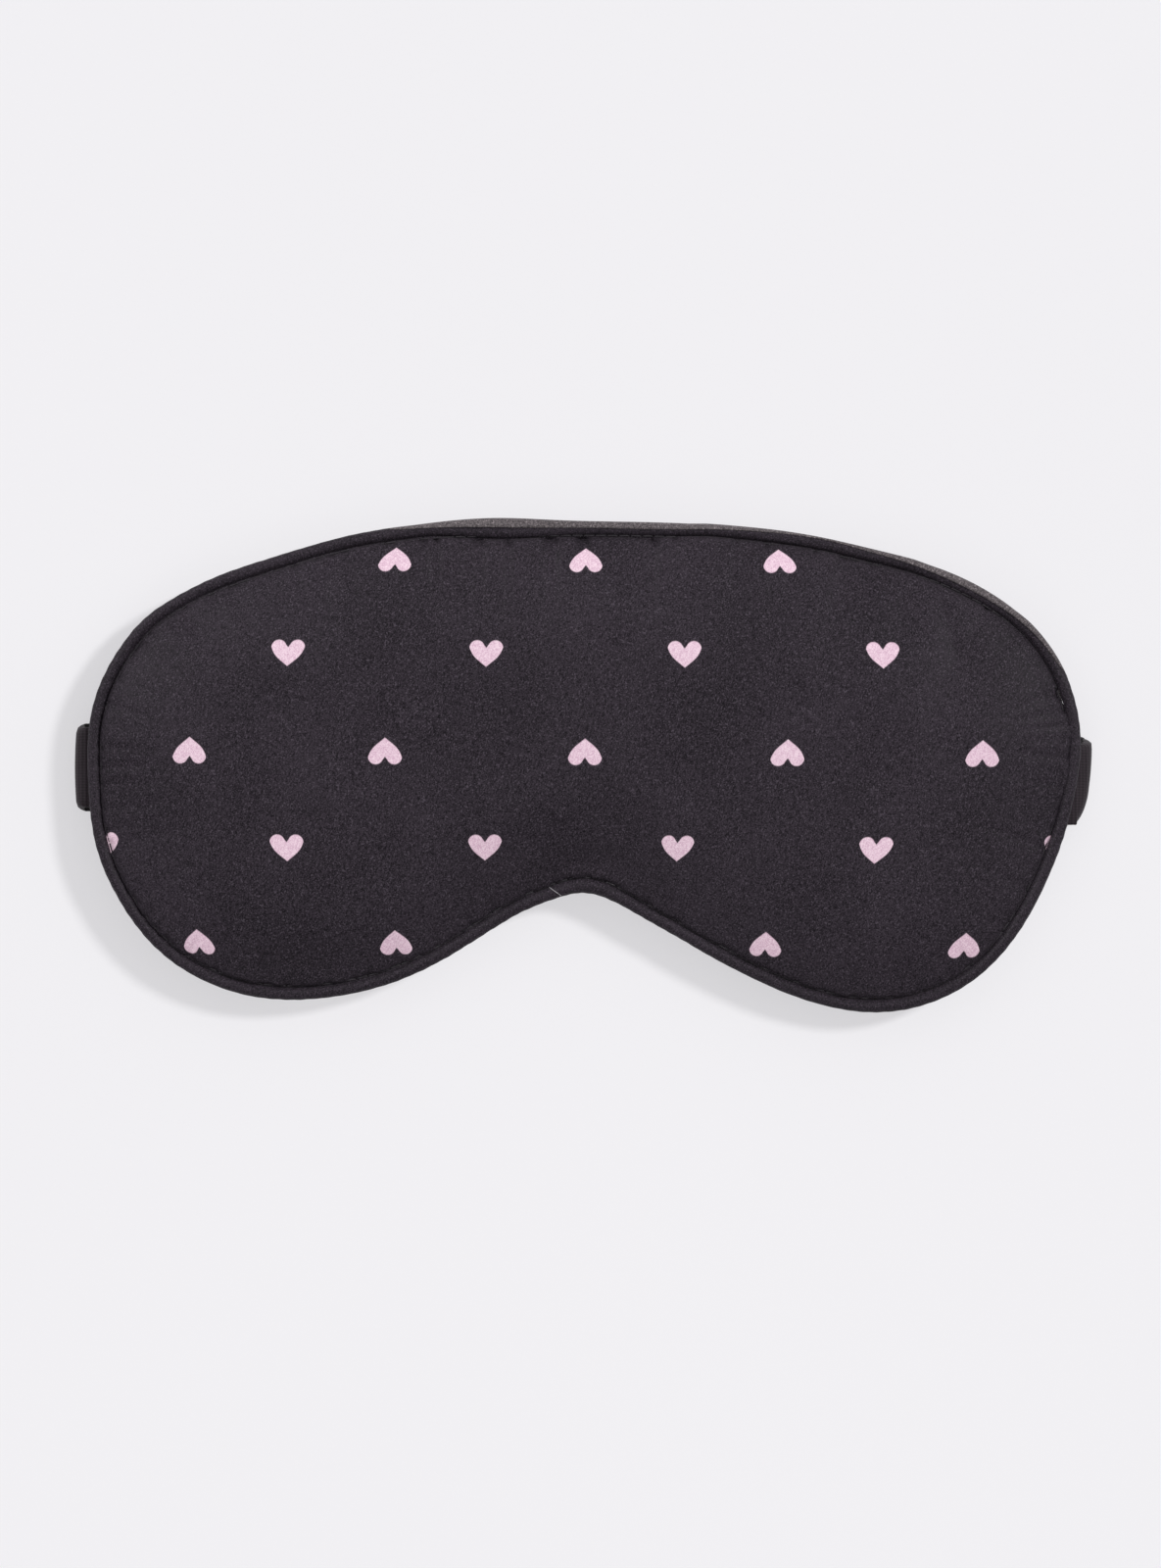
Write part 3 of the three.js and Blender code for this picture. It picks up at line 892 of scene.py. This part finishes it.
class Half:
    """One strap half's path, read from the frame: out from the seam, round the fold and back under the mask.
    A point on the band is given by its length past the fold's start, its place across the band and its lift
    over the band's middle layer."""

    def __init__(self, side):
        joint = next(j for j in frame["joints"] if j["name"] == f"{side}_strap_swing")
        band, root = node_points(f"strap_{side}"), node_points(f"strap_{side}_root")
        self.name = side
        self.body = f"strap_half_{side}"
        self.pivot = np.array(joint["pos_m"])
        self.sign = math.copysign(1, self.pivot[0])
        self.axis = unit(np.array(joint["axis"][:2])) * math.copysign(1, joint["axis"][1])
        tilt = math.asin(self.axis[0] * self.sign)
        self.cos, self.sin = math.cos(tilt), math.sin(tilt)
        self.away = np.array([self.cos * self.sign, -self.sin])
        self.thickness = np.ptp(band[:, 2])
        self.radius = self.pivot[2] - band[:, 2].mean()
        self.turn = math.pi * self.radius
        self.sewn_z = root[:, 2].max() - self.thickness / 2
        out, shift = self.spread(root)
        self.start = (out * self.cos + shift * self.sin).min()
        length, across = self.on_band(band)
        self.end = length.max()
        self.width = 2 * across.max()

    def spread(self, points):
        """How far points lie out past the fold's axis, and how far along it."""
        return (points[:, :2] - self.pivot[:2]) @ self.away, (points[:, :2] - self.pivot[:2]) @ self.axis

    def on_band(self, points):
        """Length and place across of points on the folded half."""
        out, shift = self.spread(points)
        past = self.turn - out
        return past * self.cos + shift * self.sin, shift * self.cos - past * self.sin

    def place(self, length, across, lift):
        past = length * self.cos - across * self.sin
        shift = length * self.sin + across * self.cos
        angle = np.clip(past, 0, self.turn) / self.radius
        reach = self.radius + lift
        out = np.minimum(past, 0) - np.maximum(past - self.turn, 0) + reach * np.sin(angle)
        plan = self.pivot[:2] + shift[..., None] * self.axis + out[..., None] * self.away
        return np.concatenate([plan, (self.pivot[2] + reach * np.cos(angle))[..., None]], axis=-1)


halves = {side: Half(side) for side in ("left", "right")}

RIB = 1.1 * MM  # pitch of the elastic's ribs
RIB_DEPTH = 0.02 * MM
SEWN_FLAT = 1.4 * MM  # the sewn-in end lies level this far, then drops to pass under the piping
SEWN_DROP = 1.1 * MM
# How far in from its brow end and from its lobe end the fold reaches out fully.
CORNER = {"left": (1.3 * MM, 1.3 * MM), "right": (0.9 * MM, 8 * MM)}
CORNER_REACH = 0.25  # the share of the fold's reach that is left at its very ends
TOP_NARROWING = 0.085  # the upper layer of the fold is this much narrower than the lower one
SLIP = {"left": 0.0, "right": -0.8 * MM}  # how far the fold has slipped along the seam
SLIP_FADE = 12 * MM
BARREL = 0.16  # the fold reaches that much less at its ends, besides its corners
SAG = {"middle": 36 * MM, "spread": 24 * MM, "share": 0.8, "from": 6 * MM}  # the free band drops to the table


def band_section(width, thickness):
    """Across and lift of the points round a band's section, with rounded edges."""
    radius = thickness / 2
    flat = np.linspace(-1, 1, 17) * (width / 2 - radius)
    curve = np.radians([-60, -30, 0, 30, 60])
    level, reach, rise = flat * 0 + radius, radius * np.cos(curve), radius * np.sin(curve)
    across = np.concatenate([flat, flat[-1] + reach, flat[::-1], flat[0] - reach])
    return across, np.concatenate([-level, rise, level, -rise])


def fold_reach(half, length, across, edge):
    """The share of its full reach that each point of the fold keeps: less at the ends and corners."""
    around = np.sin(np.pi * np.clip(length / half.turn, 0, 1))
    corner = np.where(across > 0, *CORNER[half.name])
    rounding = mixed(CORNER_REACH, 1, rounded((half.width / 2 - abs(across)) / corner))
    barrel = 1 - BARREL * edge**2 * around
    return mixed(1, barrel * rounding, smooth(0, 0.3, around))


def drop(half, length):
    """How far the band is moved in height: up to its sewn-in end, and down to the table past the fold."""
    sewn = 1 - smooth(half.start + SEWN_FLAT, half.start + SEWN_FLAT + SEWN_DROP, length)
    clearance = half.pivot[2] - half.radius - half.thickness / 2
    sag = SAG["share"] * clearance * bump(length, half.turn + SAG["middle"], SAG["spread"])
    past_fold = smooth(half.turn, half.turn + SAG["from"], length)
    return sewn * (half.sewn_z - half.pivot[2] - half.radius) - sag * past_fold


def build_strap(half, material):
    rings = int((half.end - half.start) / (RIB / 4))
    length = np.linspace(half.start, half.end, rings)[:, None]
    across, lift = band_section(half.width, half.thickness)
    is_inner = lift < 0
    ribs = RIB_DEPTH * np.cos(2 * np.pi * length / RIB)
    edge = abs(across) / (half.width / 2)
    across = across + np.sign(across) * ribs * smooth(0.9, 1, edge)
    lift = lift * (1 + ribs / half.thickness * 2)
    reach = fold_reach(half, length, across, edge)
    upper = 1 - smooth(0.2 * half.turn, 0.8 * half.turn, length)
    across = across * (1 - TOP_NARROWING * upper)
    across = across + SLIP[half.name] * (1 - smooth(half.turn, half.turn + SLIP_FADE, length))
    points = half.place(length + 0 * across, across, lift + 0 * length)
    middle = half.pivot[:2] + ((points[..., :2] - half.pivot[:2]) @ half.axis)[..., None] * half.axis
    points[..., :2] = middle + (points[..., :2] - middle) * reach[..., None]
    points[..., 2] += drop(half, length)
    # The inner side is moved on in V, where the material paints shade on it.
    uv = paired(length, across + SHADED_SIDE_MARK * is_inner)
    faces = tube_faces(rings, points.shape[1], False)
    if half.sign < 0:
        faces = [face[::-1] for face in faces]
    made = add_mesh(f"strap_{half.name}_elastic", points.reshape(-1, 3), faces, material, uv)
    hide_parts(f"strap_{half.name}", f"strap_{half.name}_root")
    over, under = tuple(half.pivot + half.radius * UP), tuple(half.pivot - half.radius * UP)
    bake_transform(made)


# ---------- Hook-and-loop patches ----------


def small_tube(path, radius, sides):
    """A small tube along a path that stays in one upright plane."""
    sideways = np.array([0.0, 1.0, 0.0])
    upward = np.cross(sideways, unit(np.gradient(path, axis=0)))
    angle = 2 * np.pi * turns(sides)
    ring = np.cos(angle)[:, None] * sideways + np.sin(angle)[:, None] * upward[:, None]
    return (path[:, None] + radius * ring).reshape(-1, 3), tube_faces(len(path), sides, False)


def strand_template(strand, sides):
    """A strand along X and up, in metres."""
    path = [(along, 0, up) for along, up in strand["path"]]
    return small_tube(MM * np.array(path), strand["radius"] * MM, sides)


def patch_frame(half, node):
    """A patch's place on the band: its lengths, its half width, and the lifts of its back and its face."""
    points = node_points(node)
    length, across = half.on_band(points)
    lift = half.pivot[2] - half.radius - points[:, 2]
    back, face = sorted([lift.min(), lift.max()], key=abs)
    return length.min(), length.max(), across.max(), back, face


# One hook and one loop as a path along and above the tape, in mm, and the radius of the strand.
HOOK = {
    "path": [(0, -0.1), (0, 0.35), (0.03, 0.5), (0.15, 0.6), (0.3, 0.55), (0.36, 0.4)],
    "radius": 0.085,
}
LOOP = {
    "path": [(-0.25, -0.1), (-0.34, 0.2), (-0.2, 0.42), (0.1, 0.46), (0.32, 0.25), (0.22, -0.1)],
    "radius": 0.05,
}
# The two patches: their strands, the pitch and sides of those, the tape's share of the patch's thickness, and
# whether the strands stand at random.
PILES = {
    "hook": {"strand": HOOK, "pitch": 1.05 * MM, "sides": 6, "tape": 0.5, "random": False},
    "loop": {"strand": LOOP, "pitch": 0.75 * MM, "sides": 5, "tape": 0.55, "random": True},
}
# A tape's rounded edge, the share of its thickness left there, and the height and size of its roughness.
TAPE = {"edge": 0.5 * MM, "least": 0.35, "rough": 0.06 * MM, "grain": 0.8 * MM}


def tape_layer(half, first, last, half_width, back, step, thick):
    """A patch's tape, with rounded edges and a rough face."""
    columns, rows = 60, 26
    u, v = paired(np.linspace(-1, 1, columns), np.linspace(-1, 1, rows)[:, None]).T
    half_length = (last - first) / 2
    margin = np.minimum((1 - abs(u)) * half_length, (1 - abs(v)) * half_width)
    rounding = rounded(margin / TAPE["edge"])
    length = first + half_length * (1 + u)
    across = half_width * v
    rough = TAPE["rough"] * soft_noise(np.column_stack([length, across]), TAPE["grain"], 31.5)
    front = back + step * (thick * mixed(TAPE["least"], 1, rounding) + rough)
    top = half.place(length, across, front)
    return closed_layer(columns, rows, top, half.place(length, across, back + 0 * length))


def build_patch(half, kind, material):
    """A tape and its pile of hooks or loops."""
    node, pile = f"{kind}_patch", PILES[kind]
    pitch = pile["pitch"]
    first, last, half_width, back, face = patch_frame(half, node)
    step = math.copysign(1, face - back)
    thick = abs(face - back) * pile["tape"]
    rng = np.random.default_rng(41)
    lengths = np.arange(first + pitch, last - pitch / 2, pitch)
    rows = np.arange(-half_width + pitch, half_width - pitch / 2, pitch)
    spots = paired(lengths, rows[:, None])
    spots = spots + rng.uniform(-0.25, 0.25, spots.shape) * pitch * (1 if pile["random"] else 0.2)
    origins = half.place(spots[:, 0], spots[:, 1], back + step * thick * 0.9 + 0 * spots[:, 0])
    count = len(spots)
    yaw = rng.uniform(0, np.pi, count) if pile["random"] else math.pi * rng.integers(0, 2, count)
    up = UP * -step  # past the fold the band is upside down, so a positive lift points to the table
    along = np.column_stack([np.cos(yaw), np.sin(yaw), 0 * yaw])
    strand = strand_template(pile["strand"], pile["sides"])
    strands = scatter(*strand, origins, stitch_bases(along, up))
    whole = joined(*tape_layer(half, first, last, half_width, back, step, thick), *strands)
    add_piece(f"{node}_pile", *whole, material, f"{kind}_tape", node, body=half.body)


# ---------- Thread ----------

# The stitches' pitch, length and width, and how far they lie inside their line.
STITCHES = {
    "seam": {"pitch": 2.5 * MM, "length": 2.1 * MM, "width": 0.3 * MM, "inset": 0.3 * MM},
    "patch": {"pitch": 2.0 * MM, "length": 1.6 * MM, "width": 0.32 * MM, "inset": 0.2 * MM},
}
TACK = {"corners": 14, "width": 0.25 * MM}


def stitch_template(length, width):
    """One stitch along X: a short strand that dips into the cloth at both ends."""
    share = np.linspace(-1, 1, 7)
    path = np.column_stack([share * length / 2, 0 * share, width * (0.55 * (1 - share**4) - 0.35)])
    return small_tube(path, width / 2, 6)


def stitch_bases(along, up):
    """Axes of stitches that run along the given directions, on a surface that faces the given way up."""
    along = unit(along)
    return np.stack([along, np.cross(up, along), np.broadcast_to(up, along.shape)], axis=1)


def build_seam_thread(material):
    size = STITCHES["seam"]
    turn = turns(round(seam_length / size["pitch"]))
    plan = seam.at(turn) - size["inset"] * outward(turn)
    origins = raised(plan, np.full(len(turn), middle_height("seam_thread")))
    along = raised(seam.at(turn + 0.001) - seam.at(turn - 0.001), 0 * turn)
    template = stitch_template(size["length"], size["width"])
    stitches = scatter(*template, origins, stitch_bases(along, UP))
    add_piece("seam_thread_stitches", *stitches, material, "thread", "seam_thread")


def build_patch_stitches(half, kind, material):
    """Stitches round a patch, inside its edge, on the side of the CAD thread."""
    node, size = f"{kind}_patch_stitching", STITCHES["patch"]
    points = node_points(node)
    length, across = half.on_band(points)
    lift = (half.pivot[2] - half.radius - points[:, 2]).mean()
    inset = size["inset"]
    first, last, side = length.min() + inset, length.max() - inset, across.max() - inset
    corners = np.array([(first, -side), (last, -side), (last, side), (first, side)])
    spots, runs = [], []
    for corner, after in zip(corners, np.roll(corners, -1, axis=0)):
        run = after - corner
        count = round(np.linalg.norm(run) / size["pitch"])
        share = (np.arange(count) + 0.5) / count
        spots.append(corner + share[:, None] * run)
        runs.append(np.repeat(run[None], count, axis=0))
    spots, runs = np.concatenate(spots), unit(np.concatenate(runs)) * 0.1 * MM
    level = np.full(len(spots), lift)
    origins = half.place(spots[:, 0], spots[:, 1], level)
    along = half.place(spots[:, 0] + runs[:, 0], spots[:, 1] + runs[:, 1], level) - origins
    bases = stitch_bases(along, UP * -math.copysign(1, lift))
    stitches = scatter(*stitch_template(size["length"], size["width"]), origins, bases)
    add_piece(f"{kind}_patch_stitches", *stitches, material, "thread", node, body=half.body)


def build_tack(side, material):
    """A zigzag that holds a strap's end to the seam."""
    node = f"strap_{side}_tack"
    low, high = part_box(node)
    y = np.linspace(low.y, high.y, TACK["corners"])
    x = np.where(np.arange(len(y)) % 2, low.x, high.x)
    ends = np.column_stack([x, y, np.full(len(y), middle_height(node))])
    along = ends[1:] - ends[:-1]
    length = np.linalg.norm(along, axis=1).mean()
    template = stitch_template(length, TACK["width"])
    stitches = scatter(*template, (ends[1:] + ends[:-1]) / 2, stitch_bases(along, UP))
    add_piece(f"{node}_stitches", *stitches, material, "thread", node)


# A loose end of the seam's thread, left of the nose notch: its place and direction in plan, its path along
# that direction and above the seam, and its radius, in mm.
LOOSE_END = {
    "place": (-6.4, -26.4),
    "run": (2.4, -1.7),
    "path": [(-1.6, 0.5), (-1.25, 1.0), (-0.7, 1.35), (0, 1.5), (0.7, 1.38), (1.4, 1.0)],
    "radius": 0.09,
}


def build_thread_end():
    pale = simple_cloth("pale_thread", rgb(128, 124, 128), rgb(186, 182, 186), 0.3 * MM, 0.6, 0.04 * MM)
    _, turn = beside_seam(np.array([LOOSE_END["place"]]) * MM)
    origin = raised(seam.at(turn) + piping_middle(turn)[:, None] * outward(turn), [seam_z])
    bases = stitch_bases(np.array([[*LOOSE_END["run"], 0.0]]), UP)
    strand = scatter(*strand_template(LOOSE_END, 8), origin, bases)
    add_piece("loose_thread_end", *strand, pale, "thread")


# ---------- Inside the cushion ----------

LINING_DEPTH = 1.9 * MM  # keeps the lining clear of the satin's creases
LINING = 0.35 * MM
WADDING_GAP = {"front": 0.4 * MM, "back": 0.7 * MM}
CORD_RADIUS = 0.85 * MM


def build_inside():
    """The blackout lining, the wadding and the piping cord: out of sight, but each with its own cloth."""
    lining = simple_cloth("lining", rgb(14, 13, 15), rgb(30, 28, 31), 0.5 * MM, 0.9, 0.05 * MM)
    wadding = simple_cloth("wadding", rgb(205, 201, 192), rgb(240, 238, 232), 2.5 * MM, 1.0, 0.6 * MM)
    cord = simple_cloth("cotton_cord", rgb(190, 184, 170), rgb(228, 223, 212), 0.5 * MM, 0.95, 0.1 * MM)
    sheet = Sheet(40, reach=-5.2 * MM)
    front = seam_z + SEAM_HALF_GAP + loft(sheet, FRONT_RISE) - LINING_DEPTH
    depth = np.maximum(SEAM_HALF_GAP + loft(sheet, BACK_RISE), POCKET["depth"] * strap_pocket(sheet.plan))
    lumps = 0.25 * MM * soft_noise(sheet.plan, 7 * MM, 51.5)
    layer = sheet.layer(sheet.plan, front, front - LINING)
    add_piece("blackout_lining_cloth", *layer, lining, "lining", "blackout_lining")
    top = front - LINING - WADDING_GAP["front"] + lumps
    layer = sheet.layer(sheet.plan, top, seam_z - depth + WADDING_GAP["back"] + lumps)
    add_piece("wadding_pad", *layer, wadding, "wadding", "padding")
    turn, angle = turns(700), 2 * np.pi * turns(15)
    twist = 2 * np.pi * round(seam_length / (5 * MM)) * turn
    radius = CORD_RADIUS * (1 + 0.1 * np.cos(3 * angle + twist[:, None]))
    add_cord("piping_cord_twist", turn, angle, radius, cord, "cotton_cord", "piping_cord")


# ---------- Care label ----------

# The label's thickness, how much thicker its hem is, how far its free end curls, and its lift over the CAD.
RIBBON = {"thick": 0.22 * MM, "hem": 0.9, "curl": 0.25 * MM, "lift": 0.1 * MM}


def build_label():
    """A blank white ribbon under the back panel, with a folded hem at its free end."""
    points = node_points("care_label")
    low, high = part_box("care_label")
    rows_y = np.unique(points[:, 1].round(6))
    under = [points[abs(points[:, 1] - y) < 0.01 * MM][:, 2].min() for y in rows_y]
    columns, rows = 25, 61
    u, v = paired(np.linspace(0, 1, columns), np.linspace(0, 1, rows)[:, None]).T
    x, y = mixed(low.x, high.x, u), mixed(low.y, high.y, v)
    thickness = RIBBON["thick"] * (1 + RIBBON["hem"] * smooth(0.86, 0.88, v))
    curl = RIBBON["curl"] * (2 * u - 1) ** 2 * v
    z = np.interp(y, rows_y, under) + RIBBON["lift"] - curl
    ribbon = Finish("label_ribbon", Roughness=0.5, Specular_IOR_Level=0.4, Sheen_Weight=0.2)
    px, py, _ = ribbon.place()
    weft = (py * (2 * math.pi / (0.45 * MM))).math("SINE") * 0.5 + 0.5
    warp = (px * (2 * math.pi / (0.45 * MM))).math("SINE") * 0.5 + 0.5
    tone = weft * 0.3 + warp * 0.3 + ribbon.noise(1.5 * MM) * 0.4
    ribbon.colour(tone, rgb(205, 200, 194), rgb(240, 238, 233))
    ribbon.raised(weft * warp, 0.05 * MM)
    layer = closed_layer(columns, rows, np.column_stack([x, y, z + thickness]), np.column_stack([x, y, z]))
    add_piece("care_label_ribbon", *layer, ribbon.material, "label_ribbon", "care_label")


# ---------- Studio ----------

# Three suns: only the key casts shadows. Azimuth and elevation are in degrees, and spread is the sun's width.
SUNS = {
    "key": {"azimuth": 26, "elevation": 42, "spread": 9, "strength": 1.52},
    "fill": {"azimuth": 145, "elevation": 36, "spread": 30, "strength": 1.6},
    "front fill": {"azimuth": 255, "elevation": 38, "spread": 30, "strength": 0.25},
}
# A broad soft light from the upper right, as a direction, over an even fill.
WINDOW = {"x": 0.50, "y": 0.62, "z": 0.60, "strength": 0.24, "fill": 0.16}
CAMERA = {"x": -1.05 * MM, "y": -3.55 * MM, "height": 1.5, "view": 334.4 * MM, "focus": 8 * MM}


# A sheet of paper with a faint glow of its own, which keeps it even and its shadows pale.
FLOOR = {"half": 1.6, "points": 9, "top": -0.05 * MM, "thick": 5 * MM, "glow": 0.438}


def build_floor():
    finish = Finish("floor_paper", Roughness=0.8, Specular_IOR_Level=0.2)
    finish.colour(finish.noise(0.3), rgb(188, 187, 189), rgb(192, 191, 193))
    finish.set("Emission Color", rgb(240, 239, 242))
    finish.set("Emission Strength", FLOOR["glow"])
    finish.raised(finish.noise(0.4 * MM, 2.0), 0.01 * MM)
    count = FLOOR["points"]
    side = np.linspace(-FLOOR["half"], FLOOR["half"], count)
    plan = paired(side, side[:, None])
    top = raised(plan, np.full(len(plan), FLOOR["top"]))
    layer = closed_layer(count, count, top, top - FLOOR["thick"] * UP)
    add_mesh("floor", *layer, finish.material)


def build_light():
    world = bpy.data.worlds.new("studio")
    world.use_nodes = True
    bpy.context.scene.world = world
    tree = world.node_tree
    place = tree.nodes.new("ShaderNodeTexCoord")
    split = tree.nodes.new("ShaderNodeSeparateXYZ")
    tree.links.new(place.outputs["Generated"], split.inputs[0])
    x, y, z = (Value(tree, output) for output in split.outputs)
    towards_window = x * WINDOW["x"] + y * WINDOW["y"] + z * WINDOW["z"]
    strength = towards_window.stepped(-0.3, 1.0) * WINDOW["strength"] + WINDOW["fill"]
    connect(tree, tree.nodes["Background"].inputs["Strength"], strength)
    tree.nodes["Background"].inputs["Color"].default_value = (0.985, 0.98, 1.0, 1.0)
    for name, each in SUNS.items():
        lamp = bpy.data.lights.new(name, "SUN")
        lamp.energy = each["strength"]
        lamp.angle = math.radians(each["spread"])
        lamp.use_shadow = name == "key"
        sun = bpy.data.objects.new(name, lamp)
        bpy.context.scene.collection.objects.link(sun)
        azimuth, elevation = math.radians(each["azimuth"]), math.radians(each["elevation"])
        level = math.cos(elevation)
        towards = Vector((level * math.cos(azimuth), level * math.sin(azimuth), math.sin(elevation)))
        sun.rotation_euler = towards.to_track_quat("Z", "Y").to_euler()


def build_camera():
    data = bpy.data.cameras.new("camera")
    camera = bpy.data.objects.new("camera", data)
    bpy.context.scene.collection.objects.link(camera)
    camera.location = (CAMERA["x"], CAMERA["y"], CAMERA["height"])
    data.lens = data.sensor_width * (CAMERA["height"] - CAMERA["focus"]) / CAMERA["view"]
    data.clip_start = 0.01
    bpy.context.scene.camera = camera


def build_all():
    # The back satin is lighter than the front: in part its own greyer cloth, in part painted light for its
    # rolled brow edge catching the light.
    plain = plain_satin("back_satin", rgb(56, 51, 54), rgb(112, 105, 107))
    trim = plain_satin("piping_satin", rgb(19, 15, 20), rgb(58, 51, 59), "UV")
    elastic = ribbed_elastic()
    thread = simple_cloth("thread", rgb(26, 23, 27), rgb(56, 51, 57), 0.3 * MM, 0.6, 0.05 * MM)
    build_front()
    build_back(plain)
    build_piping(trim)
    for half in halves.values():
        build_strap(half, elastic)
        build_tack(half.name, thread)
    hook_tape = simple_cloth("hook_tape", rgb(30, 28, 32), rgb(58, 55, 60), 0.4 * MM, 0.45, 0.03 * MM)
    loop_tape = simple_cloth("loop_tape", rgb(28, 26, 30), rgb(62, 58, 63), 0.5 * MM, 0.9, 0.08 * MM)
    for side, kind, tape in [("right", "hook", hook_tape), ("left", "loop", loop_tape)]:
        build_patch(halves[side], kind, tape)
        build_patch_stitches(halves[side], kind, thread)
    build_seam_thread(thread)
    build_thread_end()
    build_inside()
    build_label()


build_all()
build_floor()
build_light()
build_camera()
bpy.context.scene.view_settings.view_transform = "Standard"
